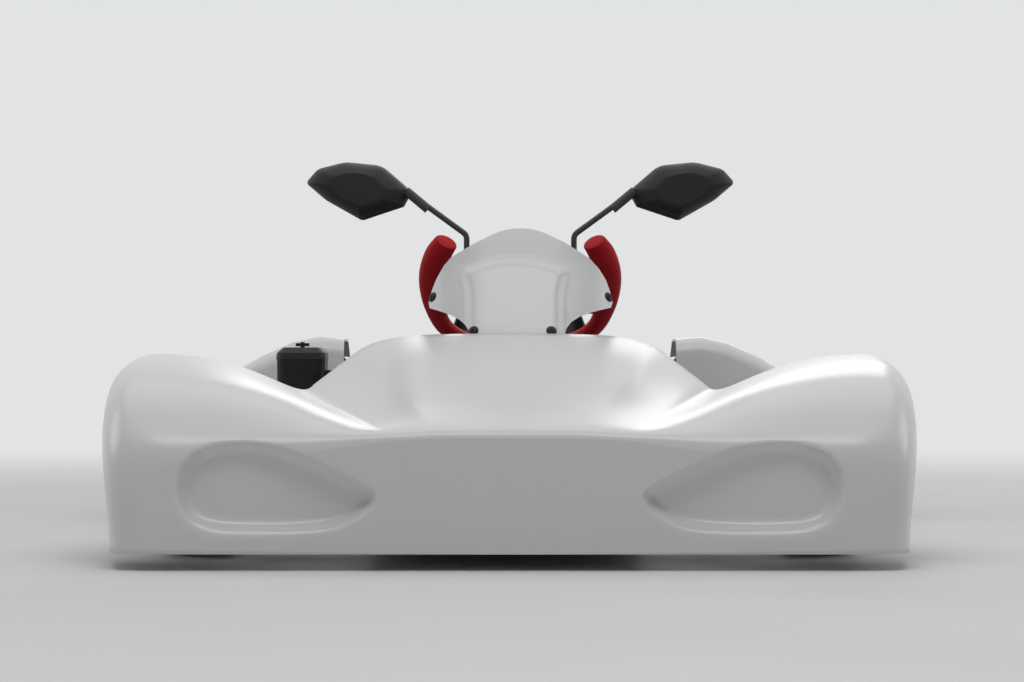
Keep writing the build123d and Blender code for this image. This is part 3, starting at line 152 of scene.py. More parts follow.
FINISHES = {
    "body_white": dict(low=(0.76, 0.76, 0.763), high=(0.785, 0.785, 0.785), rough=(0.29, 0.32), tone=1.5,
                       grain=40.0, depth=0.00002, strength=0.05, coat=0.3, detail=0.0),
    "frame_black": dict(low=(0.012, 0.012, 0.013), high=(0.024, 0.024, 0.025), rough=(0.28, 0.42), grain=700.0),
    "bright_steel": dict(low=(0.40, 0.40, 0.41), high=(0.55, 0.55, 0.56), rough=(0.29, 0.42), metal=1.0,
                         grain=500.0, stretch=(6, 1, 1)),
    "aluminium": dict(low=(0.34, 0.34, 0.35), high=(0.44, 0.44, 0.45), rough=(0.42, 0.55), metal=1.0,
                      grain=600.0),
    "tyre_rubber": dict(low=(0.010, 0.010, 0.010), high=(0.022, 0.021, 0.020), rough=(0.62, 0.80),
                        grain=1200.0, depth=0.00012, strength=0.5),
    "black_plastic": dict(low=(0.008, 0.008, 0.009), high=(0.016, 0.016, 0.017), rough=(0.40, 0.52),
                          grain=1500.0, depth=0.00006, strength=0.4, shine=0.28),
    "red_grip": dict(low=(0.46, 0.003, 0.008), high=(0.58, 0.005, 0.012), rough=(0.46, 0.58), grain=850.0,
                     depth=0.00035, strength=0.6, shine=0.22),
    "engine_cast": dict(low=(0.26, 0.26, 0.265), high=(0.36, 0.36, 0.365), rough=(0.42, 0.60), metal=0.85,
                        grain=700.0, depth=0.0002, strength=0.5),
    "seat_shell": dict(low=(0.010, 0.010, 0.011), high=(0.022, 0.022, 0.023), rough=(0.30, 0.36), tone=4.0,
                       grain=300.0, depth=0.00003, shine=0.4, detail=1.0),
    "chain_steel": dict(low=(0.10, 0.095, 0.09), high=(0.22, 0.21, 0.20), rough=(0.34, 0.55), metal=1.0,
                        tone=60.0, grain=900.0),
}
mats = {name: surface(name, **finish) for name, finish in FINISHES.items()}
mats["mirror_glass"] = mirror_glass()

# Mouldings whose faces are shaded across their seams, with the angle from which an edge stays sharp
ROUNDED = {"mirror_housings": 70, "rear_fender_left": 28, "rear_fender_right": 28, "seat": 28}
SEAM = 0.05 * MM
for entry in frame["record"]["subparts"]:
    solid = nodes[entry["node"]]
    solid.data.materials.clear()
    solid.data.materials.append(mats[entry["material_slot"]])
    if entry["node"] in ROUNDED:
        solid.modifiers.new("joined", "WELD").merge_threshold = SEAM
        solid.modifiers.new("edges", "EDGE_SPLIT").split_angle = radians(ROUNDED[entry["node"]])
        solid.modifiers.new("even", "WEIGHTED_NORMAL").mode = "FACE_AREA_WITH_ANGLE"

# ---- Tools for the pieces


def facing(point, normal):
    """A matrix at a point with its Z axis along the normal."""
    return Matrix.Translation(point) @ Vector(normal).to_track_quat("Z", "Y").to_matrix().to_4x4()


def around(centre, radius, turn):
    """A point on a circle about an axle."""
    return centre + radius * Vector((0, cos(turn), sin(turn)))


def band(bm, low, high, closed=True):
    """Faces between two rows of vertices."""
    for i in range(len(low) if closed else len(low) - 1):
        j = (i + 1) % len(low)
        bm.faces.new((low[i], low[j], high[j], high[i]))


def lathe(bm, matrix, profile, steps=24):
    """A turned form: profile points are radius and height along Z, a zero radius closes an end."""
    turns = [2 * pi * i / steps for i in range(steps)]
    rings = []
    for radius, height in profile:
        points = [Vector((radius * cos(t), radius * sin(t), height)) * MM for t in turns]
        rings.append([bm.verts.new(matrix @ point) for point in points[:steps if radius else 1]])
    for low, high in zip(rings, rings[1:]):
        for i in range(steps):
            j = (i + 1) % steps
            corners = [low[i % len(low)], low[j % len(low)], high[j % len(high)], high[i % len(high)]]
            bm.faces.new(list(dict.fromkeys(corners)))


def plate(bm, matrix, outline, levels):
    """A flat piece: a closed outline in millimetres, drawn at levels of height and share of its size."""
    rings = []
    for height, share in levels:
        points = [Vector((x * share, y * share, height)) * MM for x, y in outline]
        rings.append([bm.verts.new(matrix @ point) for point in points])
    for low, high in zip(rings, rings[1:]):
        band(bm, low, high)
    bm.faces.new(rings[0][::-1])
    bm.faces.new(rings[-1])


def add_piece(name, bm, slot, body, *replaced, sharp=32):
    """Turn a mesh into a piece of the kart that rides on a body and takes a slot's finish."""
    bmesh.ops.recalc_face_normals(bm, faces=bm.faces)
    for face in bm.faces:
        face.smooth = True
    mesh = bpy.data.meshes.new(name)
    bm.to_mesh(mesh)
    bm.free()
    mesh.set_sharp_from_angle(angle=radians(sharp))
    mesh.materials.append(mats[slot])
    obj = bpy.data.objects.new(name, mesh)
    bpy.context.collection.objects.link(obj)
    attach(obj, body)
    if replaced:
        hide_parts(*replaced)
    return obj


def hit(node, start, direction):
    """The first point of a solid on a ray, or None."""
    mesh = nodes[node].data
    tree = BVHTree.FromPolygons([v.co for v in mesh.vertices], [p.vertices for p in mesh.polygons])
    return tree.ray_cast(start, direction)[0]


def bezier(points, t):
    """A point of a Bezier curve."""
    while len(points) > 1:
        points = [((1 - t) * ax + t * bx, (1 - t) * az + t * bz)
                  for (ax, az), (bx, bz) in zip(points, points[1:])]
    return points[0]


def steps_along(curve, start, end, count):
    """Points of a Bezier curve at even steps from start up to end, the end itself left to the next curve."""
    return [bezier(curve, start + (end - start) * i / count) for i in range(count)]


def spline(points, i, t, closed=False):
    """A point between two of a row of points, on a smooth curve through them."""
    last = len(points) - 1
    near = [points[(i + k) % len(points) if closed else min(max(i + k, 0), last)] for k in (-1, 0, 1, 2)]
    return [0.5 * (2 * b + (c - a) * t + (2 * a - 5 * b + 4 * c - d) * t * t
                   + (3 * b - a - 3 * c + d) * t ** 3) for a, b, c, d in zip(*near)]


def between(table, value):
    """The first column of a table at a value of the second."""
    for (a, p), (b, q) in zip(table, table[1:]):
        if value <= q:
            return a + (b - a) * (value - p) / (q - p)
    return table[-1][0]


def smooth(low, high, value):
    """A smooth step from zero to one."""
    t = min(max((value - low) / (high - low), 0), 1)
    return t * t * (3 - 2 * t)


def soft_min(a, b, blend):
    """The lesser of two values, blended where they are close."""
    return min(a, b) - max(blend - abs(a - b), 0) ** 2 / (4 * blend)


# Turned forms of the small hardware: radius and height
BUTTON_HEAD = ((0, 1.3), (2.1, 1.3), (2.1, 3.2), (3.4, 3.2), (5.2, 2.3), (6.0, 0.7), (8.6, 0.7), (9.0, 0.3),
               (9.0, -0.6))
HEX_HEAD = ((0, 4.4), (4.2, 4.4), (5.4, 3.6), (5.4, 0.0))
WASHER = ((5.0, 0.9), (7.6, 0.9), (8.0, 0.5), (8.0, -0.4))
VALVE = ((5.5, 0), (5.0, 3), (3.6, 6), (3.2, 14), (2.6, 15), (2.6, 22), (2.0, 23), (0, 23))

# Places shared by several pieces
STEER_X = 18  # the steering's centre line
FRONT_AXLE = Vector((0, -520, 127)) * MM
REAR_AXLE = Vector((0, 550, 135)) * MM
CRANK = Vector((0, 280, 185)) * MM

# ---- Front body: the moulding in fine steps, with the soft pockets of its blank lamps

NOSE_Y, SKIRT_Z, SHELL_T, BODY_LENGTH = -890, 25, 5, 490
ARCH_BACK, ARCH_Z, ARCH_R = 370, 117, 168  # the wheel arch's centre behind the nose, its height and radius
# Set-back behind the nose, then the section there: the hump's half width and height, the half width and height
# of its foot, the heights of saddle, crown and shoulder, and the half widths of side and skirt
SECTIONS = (
    (0, 100, 200, 180, 196, 192, 180, 165, 556, 556),
    (4, 101, 208, 182, 204, 202, 192, 180, 576, 574),
    (12, 103, 214, 186, 209, 208, 204, 195, 594, 590),
    (32, 108, 221, 194, 214, 211, 222, 218, 612, 604),
    (75, 119, 233, 208, 221, 212, 256, 255, 627, 613),
    (150, 138, 254, 232, 232, 215, 290, 292, 640, 622),
    (280, 178, 296, 272, 250, 220, 310, 317, 650, 634),
    (400, 200, 336, 304, 264, 230, 315, 326, 650, 636),
    (490, 215, 360, 328, 274, 240, 316, 324, 646, 636),
)
HUMP_SAG = 6  # how far the hump's top falls to its edge, at the rear
HUMP_TURN, HUMP_TURN_GAIN = 0.12, 0.20  # share of the hump's edge that is rounded at the nose, and its gain
SADDLE_SHARE, CROWN_SHARE, SHOULDER_SHARE = 0.106, 0.343, 0.79  # control points from the hump's foot outwards
SHOULDER_IN = 75  # from the side in to where the flank begins
FLANK_IN, FLANK_OUT, FLANK_HIGH, FLANK_LOW = 14, 16, 0.86, 0.45  # the flank's control points at the side
HUMP_STEPS, FOOT_STEPS, CROWN_STEPS, FLANK_STEPS, SKIRT_STEPS = 8, 6, 50, 20, 10
NOSE_STEPS, ARCH_STEPS = 130, 28
ROWS_BACK = (1, 2, 4, 6, 9, 12, 16, 21, 27, 34, 42, 51, 61, 72, 85, 100, 118, 138, 160, 182)  # up to the arch
LAST_ROW_GAP = 6  # least distance of a row from the body's rear edge

POCKET = ((494, 122), (484, 88), (452, 70), (400, 66), (330, 66), (268, 72), (226, 92), (212, 110), (236, 128),
          (300, 158), (356, 180), (412, 187), (458, 178), (485, 154))
POCKET_DEPTH, POCKET_SLOPE, POCKET_LIP = 25, 1.75, 9  # the lip is how far outside its line the wall begins
POCKET_FILLET, POCKET_EDGE = 9, 5  # rounding at the pocket's floor and at its edge
POCKET_MARGIN, POCKET_STEPS = 20, 6
POCKET_X, POCKET_Z = [(min(c) - POCKET_MARGIN, max(c) + POCKET_MARGIN) for c in zip(*POCKET)]
pocket_line = [Vector(spline(POCKET, i, k / POCKET_STEPS, closed=True))
               for i in range(len(POCKET)) for k in range(POCKET_STEPS)]


def sizes_at(back):
    """The section's sizes at a set-back, on a smooth curve through the table that doesn't overshoot."""
    backs = [row[0] for row in SECTIONS]
    i = max(k for k in range(len(backs) - 1) if backs[k] <= back)
    gap = backs[i + 1] - backs[i]
    t = (back - backs[i]) / gap
    sizes = []
    for values in list(zip(*SECTIONS))[1:]:
        rise = [(b - a) / (q - p) for a, b, p, q in zip(values, values[1:], backs, backs[1:])]
        inner = [2 * m * n / (m + n) if m * n > 0 else 0 for m, n in zip(rise, rise[1:])]
        slope = [rise[0]] + inner + [rise[-1]]
        sizes.append(values[i] * (1 + 2 * t) * (1 - t) ** 2 + slope[i] * gap * t * (1 - t) ** 2
                     + values[i + 1] * t * t * (3 - 2 * t) + slope[i + 1] * gap * t * t * (t - 1))
    return sizes


def section(back, low):
    """Half a section from the centre line down to a height on the flank, then to the skirt."""
    hump_x, hump_z, foot_x, foot_z, saddle_z, crown_z, shoulder_z, side_x, skirt_x = sizes_at(back)
    sag = HUMP_SAG * back / BODY_LENGTH
    turn = HUMP_TURN + HUMP_TURN_GAIN * back / BODY_LENGTH
    level = hump_x * (1 - turn)
    edge = [(level, hump_z - sag * (1 - turn) ** 2), (hump_x, hump_z - sag),
            (hump_x + (foot_x - hump_x) * turn, hump_z + (foot_z - hump_z) * turn)]
    shoulder_x = side_x - SHOULDER_IN
    crown = [(foot_x + (shoulder_x - foot_x) * share, z) for share, z in (
        (0, foot_z), (SADDLE_SHARE, saddle_z), (CROWN_SHARE, crown_z), (SHOULDER_SHARE, shoulder_z),
        (1, shoulder_z))]
    flank = [(shoulder_x, shoulder_z), (side_x - FLANK_IN, shoulder_z),
             (side_x + FLANK_OUT, FLANK_HIGH * shoulder_z), (side_x - FLANK_IN, FLANK_LOW * shoulder_z),
             (skirt_x, SKIRT_Z)]
    above, below = 0.0, 1.0  # closing in on the place where the flank passes the given height
    for _ in range(30):
        middle = (above + below) / 2
        above, below = (middle, below) if bezier(flank, middle)[1] > low else (above, middle)
    across = [level * i / HUMP_STEPS for i in range(HUMP_STEPS)]
    return ([(x, hump_z - sag * (x / hump_x) ** 2) for x in across]
            + steps_along(edge, 0, 1, HUMP_STEPS)
            + steps_along([edge[-1], crown[0]], 0, 1, FOOT_STEPS)
            + steps_along(crown, 0, 1, CROWN_STEPS)
            + steps_along(flank, 0, below, FLANK_STEPS)
            + steps_along(flank, below, 1, SKIRT_STEPS) + [flank[-1]])


def pocket_depth(x, z):
    """How far the pocket's face lies behind the nose at a point seen from the front."""
    point = Vector((abs(x), z))
    inside, nearest = False, float("inf")
    for a, b in zip(pocket_line, pocket_line[1:] + pocket_line[:1]):
        edge = b - a
        t = min(max((point - a).dot(edge) / edge.length_squared, 0), 1)
        nearest = min(nearest, (point - a - t * edge).length_squared)
        if (a.y > z) != (b.y > z) and point.x < a.x + (z - a.y) * edge.x / edge.y:
            inside = not inside
    inset = sqrt(nearest) if inside else -sqrt(nearest)
    return soft_min((inset + POCKET_LIP) * POCKET_SLOPE, POCKET_DEPTH, POCKET_FILLET)


def body_row(bm, points, back):
    """A row of vertices across the body, sunk into the pockets."""
    row = []
    for x, z in [(-x, z) for x, z in points[:0:-1]] + points:
        depth = back
        near = POCKET_X[0] < abs(x) < POCKET_X[1] and POCKET_Z[0] < z < POCKET_Z[1]
        if near and back < POCKET_DEPTH + POCKET_EDGE:
            depth = -soft_min(-back, -pocket_depth(x, z), POCKET_EDGE)
        row.append(bm.verts.new(Vector((x, NOSE_Y + depth, z)) * MM))
    return row


def front_moulding():
    """The body's skin: rows up the flat nose, rows back to the wheel arches and rows over them."""
    bm = bmesh.new()
    nose = section(0, ARCH_Z)
    rows = []
    for share in [k / NOSE_STEPS for k in range(NOSE_STEPS + 1)]:
        rows.append(body_row(bm, [(x * share, SKIRT_Z + (z - SKIRT_Z) * share) for x, z in nose], 0))
    for back in (*ROWS_BACK, ARCH_BACK - ARCH_R):
        rows.append(body_row(bm, section(back, ARCH_Z), back))
    whole = len(rows)
    over = [ARCH_BACK - ARCH_R * cos(pi * i / ARCH_STEPS) for i in range(1, ARCH_STEPS + 1)]
    for back in [y for y in over if y < BODY_LENGTH - LAST_ROW_GAP] + [BODY_LENGTH]:
        edge_z = ARCH_Z + sqrt(ARCH_R ** 2 - (back - ARCH_BACK) ** 2)
        rows.append(body_row(bm, section(back, edge_z), back))
    for k, (low, high) in enumerate(zip(rows, rows[1:]), 1):
        skip = 0 if k < whole else SKIRT_STEPS
        band(bm, low[skip:len(low) - skip], high[skip:len(high) - skip], closed=False)
    bmesh.ops.delete(bm, geom=[v for v in bm.verts if not v.link_faces], context="VERTS")
    bmesh.ops.remove_doubles(bm, verts=bm.verts, dist=0.01 * MM)
    moulding = add_piece("front_moulding", bm, "body_white", "chassis", "front_body", sharp=80)
    skin = moulding.modifiers.new("skin", "SOLIDIFY")
    skin.thickness = SHELL_T * MM
    skin.offset = -1


front_moulding()

# ---- Fairing: a panel swept back at both sides, its middle standing proud under an arch

FAIRING_FOOT, FAIRING_PEAK, FAIRING_T, FAIRING_STEPS = 312, 540, 4, 72
FAIRING_LINE = ((-418, 300), (-318, 480), (-284, 560))  # distance along the kart, height
# Half widths on the driver's right and left, with their heights
FAIRING_RIGHT = ((85, 312), (86, 359), (88, 366), (93, 374), (103, 383), (119, 391.6), (138, 398), (155, 403),
                 (157, 413), (151, 435), (143, 455), (131, 476), (119, 490), (79, 514), (40, 533), (0, 540))
FAIRING_LEFT = ((74, 312), (75, 360), (78, 369), (86, 379), (100, 388), (119, 395), (138, 400), (155, 404),
                (158, 413), (154, 431), (147, 451), (135, 471), (119, 488), (79, 514), (40, 533), (0, 540))
PEAK_DROP, PEAK_HALF = 14, 54.6  # height and half width of the rounded peak
# Heights of the grid's rows, closer where the lower corners sweep out and at the peak
FAIRING_LEVELS = (*range(FAIRING_FOOT, 349, 12), *range(352, 392, 3), *range(392, 414), *range(416, 525, 4),
                  *[FAIRING_PEAK - PEAK_DROP * (1 - i / 12) ** 2 for i in range(1, 12)])
SWEEP_BASE, SWEEP, SWEEP_HALF, SWEEP_POWER = 14, 70, 165, 3.2  # how the panel bends back to its sides
PROUD = 14  # how far the middle stands out
MIDDLE_X, MIDDLE_HALF, MIDDLE_FLARE, FLARE_HEIGHTS = -10, 70, 14, (420, 490)  # its sides, flaring upwards
MIDDLE_TOP, MIDDLE_ARCH, MIDDLE_SOFT = 492, 0.0026, 16  # its arch: height, bend and the depth of its edge
EDGE_OUT, EDGE_IN = 18, 2  # where its side edges begin and end
SCREWS = ((151, 422), (-150, 422), (52, 364), (-79, 364))  # near the tips and the lower corners


def fairing_face(x, z, proud=PROUD):
    """Where the fairing's face lies along the kart at a point seen from the front."""
    across = x - MIDDLE_X
    side = MIDDLE_HALF + MIDDLE_FLARE * smooth(*FLARE_HEIGHTS, z)
    under_arch = smooth(0, -MIDDLE_SOFT, z - MIDDLE_TOP + MIDDLE_ARCH * across ** 2)
    raised = smooth(side + EDGE_OUT, side - EDGE_IN, abs(across)) * under_arch
    return between(FAIRING_LINE, z) + SWEEP_BASE + SWEEP * (abs(x) / SWEEP_HALF) ** SWEEP_POWER - proud * raised


def fairing_panel():
    """The panel's front and back as grids, joined round their edge."""
    bm = bmesh.new()
    layers = []
    for proud, back in ((PROUD, 0), (0, FAIRING_T)):
        layer = []
        for z in FAIRING_LEVELS:
            left, right = between(FAIRING_LEFT, z), between(FAIRING_RIGHT, z)
            if z > FAIRING_PEAK - PEAK_DROP:
                left = right = PEAK_HALF * sqrt((FAIRING_PEAK - z) / PEAK_DROP)
            row = [(left + right) * i / FAIRING_STEPS - right for i in range(FAIRING_STEPS + 1)]
            points = [Vector((STEER_X + x, fairing_face(x, z, proud) + back, z)) for x in row]
            layer.append([bm.verts.new(point * MM) for point in points])
        layers.append(layer)
    for layer in layers:
        for low, high in zip(layer, layer[1:]):
            band(bm, low, high, closed=False)
    band(bm, *[[row[0] for row in layer] + layer[-1][1:] + [row[-1] for row in layer[-2::-1]]
               + layer[0][-2:0:-1] for layer in layers])
    add_piece("fairing_panel", bm, "body_white", "chassis", "steering_fairing")


def fairing_screws():
    """Black screws that hold the fairing."""
    bm = bmesh.new()
    for x, z in SCREWS:
        y = fairing_face(x, z)
        normal = Vector((fairing_face(x + 1, z) - y, -1, fairing_face(x, z + 1) - y)).normalized()
        lathe(bm, facing(Vector((STEER_X + x, y, z)) * MM, normal), BUTTON_HEAD)
    add_piece("fairing_screws", bm, "black_plastic", "chassis")


fairing_panel()
fairing_screws()

# ---- Steering wheel: swelling grips on one bent rim, and three flat spokes, drawn in the plane of the wheel

COLUMN = Vector((0, 1, 1)).normalized()
WHEEL_UP = Vector((0, -1, 1)).normalized()
HUB = Vector((STEER_X, -130, 431)) * MM
IN_WHEEL = Matrix.Translation(HUB) @ Matrix((-X_AXIS, WHEEL_UP, COLUMN)).transposed().to_4x4()
# Half of the rim from a grip's end: across, up, half width and half thickness
HALF_RIM = ((129, 122, 21, 15.5), (142, 96, 23.5, 16.5), (152, 56, 24, 17), (155, 12, 22, 16.5),
            (150, -36, 18, 15), (134, -82, 15, 14), (100, -114, 14, 13), (50, -125, 14, 13), (0, -126, 14, 13))
RIM = HALF_RIM + tuple((-u, v, wide, thick) for u, v, wide, thick in HALF_RIM[-2::-1])
RIM_STEPS, RIM_SIDES = 8, 28
GRIP_END = ((1, 0), (0.985, 1.0), (0.93, 2.4), (0.80, 3.0))  # share of the grip's size, distance past its end
SIDE_SPOKE = ((0, 20), (60, 8), (100, 0), (150, -2), (150, -48), (100, -42), (60, -34), (0, -24))
LOWER_SPOKE = ((-24, 0), (24, 0), (20, -50), (22, -90), (28, -122), (-28, -122), (-22, -90), (-20, -50))
SPOKE_LEVELS = ((-6, 0.985), (-5.2, 1), (5.2, 1), (6, 0.985))
CENTRE = ((0, -6), (43, -6), (44, -5), (44, 5), (43, 6), (0, 6))
BOSS_SCREWS, BOSS_RING = 6, 27
SOCKET_HEAD = [(radius * 0.62, height * 0.8) for radius, height in BUTTON_HEAD[:6]] + [(3.7, -0.5)]


def wheel_rim():
    """The rim as rings along its course, closed with rounded ends, and the spokes."""
    bm = bmesh.new()
    course = [spline(RIM, i, k / RIM_STEPS) for i in range(len(RIM) - 1) for k in range(RIM_STEPS)] + [RIM[-1]]
    last = len(course) - 1
    turns = [2 * pi * k / RIM_SIDES for k in range(RIM_SIDES)]
    rings = []
    for i, (u, v, wide, thick) in enumerate(course):
        ahead, behind = course[min(i + 1, last)], course[max(i - 1, 0)]
        way = Vector((ahead[0] - behind[0], ahead[1] - behind[1], 0)).normalized()
        out = Vector((way.y, -way.x, 0))
        ends = {0: [(share, -past) for share, past in reversed(GRIP_END)], last: GRIP_END}
        for share, past in ends.get(i, [(1, 0)]):
            middle = Vector((u, v, 0)) + way * past
            ring = [middle + share * (wide * cos(t) * out + thick * sin(t) * Z_AXIS) for t in turns]
            rings.append([bm.verts.new(IN_WHEEL @ (point * MM)) for point in ring])
    for low, high in zip(rings, rings[1:]):
        band(bm, low, high)
    bm.faces.new(rings[0])
    bm.faces.new(rings[-1][::-1])
    for spoke in (SIDE_SPOKE, [(-u, v) for u, v in reversed(SIDE_SPOKE)], LOWER_SPOKE):
        plate(bm, IN_WHEEL, spoke, SPOKE_LEVELS)
    lathe(bm, IN_WHEEL, CENTRE, 48)
    add_piece("wheel_rim", bm, "red_grip", "steering", "steering_wheel")


def boss_screws():
    """Socket screws round the boss, on whichever solid lies nearer to the driver."""
    bm = bmesh.new()
    across = COLUMN.cross(X_AXIS)
    for i in range(BOSS_SCREWS):
        turn = 2 * pi * (i + 0.5) / BOSS_SCREWS
        start = HUB + 200 * MM * COLUMN + BOSS_RING * MM * (cos(turn) * X_AXIS + sin(turn) * across)
        found = [hit(node, start, -COLUMN) for node in ("steering_boss", "steering_wheel")]
        place = min((point for point in found if point), key=lambda point: (point - start).length)
        lathe(bm, facing(place, COLUMN), SOCKET_HEAD)
    add_piece("boss_screws", bm, "bright_steel", "steering")


wheel_rim()
boss_screws()

# ---- Wheels: bolts and valves on the rims' webs, and moulded lines on the tyres' outer walls

BOLTS, BOLT_RING, VALVE_RING = 6, 46.5, 55
FRONT_WEB_X, REAR_WEB_X = 504, 614
FRONT_LINES, REAR_LINES = (88, 106, 109), (90, 112, 115)  # radii of the lines
WALL_LINE = ((-1.4, -1.2), (-0.7, 0.7), (0.7, 0.7), (1.4, -1.2))  # a line's section
HANDS = ((1, "left"), (-1, "right"))


def dress_rim(bolts, valves, centre, side):
    """Bolts with washers and one valve on the outer face of a rim's web."""
    outwards = side * X_AXIS
    for i in range(BOLTS):
        place = around(centre, BOLT_RING * MM, 2 * pi * (i + 0.5) / BOLTS)
        lathe(bolts, facing(place, outwards), WASHER)
        lathe(bolts, facing(place + 0.8 * MM * outwards, outwards), HEX_HEAD, 6)
    lathe(valves, facing(centre + VALVE_RING * MM * Z_AXIS, outwards), VALVE, 16)


def wall_lines(tyre, centre, side, hand, body, radii):
    """Raised rings on a tyre's outer wall."""
    bm = bmesh.new()
    for radius in radii:
        wall = hit(tyre, centre + Vector((side, 0, radius * MM)), -side * X_AXIS)
        form = [(radius + out, height) for out, height in WALL_LINE]
        lathe(bm, facing(Vector((wall.x, centre.y, centre.z)), side * X_AXIS), form, 64)
    add_piece(f"{body}_wall_lines_{hand}", bm, "tyre_rubber", body)


for side, hand in HANDS:
    bolts, valves = bmesh.new(), bmesh.new()
    dress_rim(bolts, valves, FRONT_AXLE + side * FRONT_WEB_X * MM * X_AXIS, side)
    add_piece(f"front_wheel_bolts_{hand}", bolts, "bright_steel", f"front_wheel_{hand}")
    add_piece(f"front_valve_{hand}", valves, "tyre_rubber", f"front_wheel_{hand}")
bolts, valves = bmesh.new(), bmesh.new()
for side, hand in HANDS:
    dress_rim(bolts, valves, REAR_AXLE + side * REAR_WEB_X * MM * X_AXIS, side)
add_piece("rear_wheel_bolts", bolts, "bright_steel", "rear_axle")
add_piece("rear_valves", valves, "tyre_rubber", "rear_axle")
for side, hand in HANDS:
    wall_lines(f"front_tyre_{hand}", FRONT_AXLE, side, hand, f"front_wheel_{hand}", FRONT_LINES)
for side, hand in HANDS:
    wall_lines("rear_tyres", REAR_AXLE, side, hand, "rear_axle", REAR_LINES)

# ---- Chain drive: rollers and links of the chain, and the toothed rings of its two sprockets

CHAIN_X, PITCH = -232 * MM, 12.7 * MM
AXLE_TEETH, CRANK_TEETH = 48, 14
AXLE_BORE, CRANK_BORE = 84, 16  # inner radii of the toothed rings
AXLE_R = PITCH / 2 / sin(pi / AXLE_TEETH)
CRANK_R = PITCH / 2 / sin(pi / CRANK_TEETH)
AXLE_STEP = 2 * pi / AXLE_TEETH
HELD = 13  # rollers on each side of the axle sprocket's far point that sit at its own step
# A tooth between two rollers: share of the step, rise over the pitch circle
TOOTH = ((-0.5, -4.3), (-0.30, -3.6), (-0.17, 0.2), (-0.06, 3.4), (0.06, 3.4), (0.17, 0.2), (0.30, -3.6))
TOOTH_HALF = 2.7  # half of a sprocket's thickness
LINK_HALF, LINK_END, LINK_WAIST, LINK_T = 6.35, 5.3, 4.3, 1.3  # a side plate, waisted between two round ends
INNER_REACH, OUTER_REACH = 4.3, 5.9  # inner and outer plates' distances from the chain's middle
LINK_LEVELS = ((0, 0.96), (0.25, 1), (1.05, 1), (LINK_T, 0.96))
ROLLER_HALF = 7.6
ROLLER = ((0, 0), (1.7, 0.2), (1.9, 0.8), (1.9, 3.6), (4.1, 3.6), (4.1, 11.6), (1.9, 11.6), (1.9, 14.4),
          (1.7, 15.0), (0, 15.2))

line = CRANK - REAR_AXLE
heading = atan2(line.z, line.y)
far = heading + pi
wrap = acos((AXLE_R - CRANK_R) / line.length)  # half of the turn over which the chain lies on the crank
run = sqrt(line.length ** 2 - (AXLE_R - CRANK_R) ** 2)


def chain_point(s):
    """A point of the chain's loop at a distance beyond the last held roller."""
    held = far + HELD * AXLE_STEP
    leave, back = far + pi - wrap, far + pi + wrap  # turns at which the two straight runs meet the sprockets
    axle_arc, crank_arc = (leave - held) * AXLE_R, 2 * wrap * CRANK_R
    if s <= axle_arc:
        return around(REAR_AXLE, AXLE_R, held + s / AXLE_R)
    s -= axle_arc
    if s <= run:
        return around(REAR_AXLE, AXLE_R, leave).lerp(around(CRANK, CRANK_R, leave), s / run)
    s -= run
    if s <= crank_arc:
        return around(CRANK, CRANK_R, leave + s / CRANK_R)
    s -= crank_arc
    if s <= run:
        return around(CRANK, CRANK_R, back).lerp(around(REAR_AXLE, AXLE_R, back), s / run)
    return around(REAR_AXLE, AXLE_R, back + (s - run) / AXLE_R)


def chain_rollers():
    """The rollers' places: at the sprocket's own step round the axle, and evenly over the rest of the loop."""
    held = [around(REAR_AXLE, AXLE_R, far + k * AXLE_STEP) for k in range(-HELD, HELD + 1)]
    rest = 2 * ((pi - wrap - HELD * AXLE_STEP) * AXLE_R + run + wrap * CRANK_R)
    free = round(rest / PITCH / 2) * 2
    return held + [chain_point(rest * k / free) for k in range(1, free)]


def chain():
    """Two plates and one roller for each step of the chain, outer and inner plates by turns."""
    outline = []
    for end, first in ((1, -pi / 2), (-1, pi / 2)):
        turns = [first + pi * i / 8 for i in range(9)]
        outline += [(end * LINK_HALF + LINK_END * cos(t), LINK_END * sin(t)) for t in turns]
        outline += [(0, end * LINK_WAIST)]
    links, rolls = bmesh.new(), bmesh.new()
    rollers = chain_rollers()
    for i, (first, second) in enumerate(zip(rollers, rollers[1:] + rollers[:1])):
        way = (second - first).normalized()
        turn = Matrix((way, X_AXIS.cross(way), X_AXIS)).transposed().to_4x4()
        reach = INNER_REACH if i % 2 else OUTER_REACH
        for depth in (reach, -reach - LINK_T):
            place = (first + second) / 2 + (CHAIN_X + depth * MM) * X_AXIS
            plate(links, Matrix.Translation(place) @ turn, outline, LINK_LEVELS)
        lathe(rolls, facing(first + (CHAIN_X - ROLLER_HALF * MM) * X_AXIS, X_AXIS), ROLLER, 12)
    add_piece("chain_links", links, "chain_steel", "chassis", "chain")
    add_piece("chain_rollers", rolls, "bright_steel", "chassis")


def toothed_ring(name, slot, body, centre, pitch_r, teeth, bore, phase):
    """A ring with a tooth between each two rollers of the chain."""
    bm = bmesh.new()
    outer, inner = [], []
    for i in range(teeth):
        for share, rise in TOOTH:
            turn = phase + 2 * pi * (i + 0.5 + share) / teeth
            outer.append((pitch_r + rise * MM, turn))
            inner.append((bore * MM, turn))
    loops = []
    for ring, depth in ((inner, TOOTH_HALF), (outer, TOOTH_HALF), (outer, -TOOTH_HALF), (inner, -TOOTH_HALF)):
        face = centre + (CHAIN_X + depth * MM) * X_AXIS
        loops.append([bm.verts.new(around(face, radius, turn)) for radius, turn in ring])
    for low, high in zip(loops, loops[1:] + loops[:1]):
        band(bm, low, high)
    add_piece(name, bm, slot, body)


chain()
toothed_ring("axle_teeth", "aluminium", "rear_axle", REAR_AXLE, AXLE_R, AXLE_TEETH, AXLE_BORE, far)
toothed_ring("crank_teeth", "bright_steel", "chassis", CRANK, CRANK_R, CRANK_TEETH, CRANK_BORE, heading)

# ---- Cooling grille on the engine's fan housing

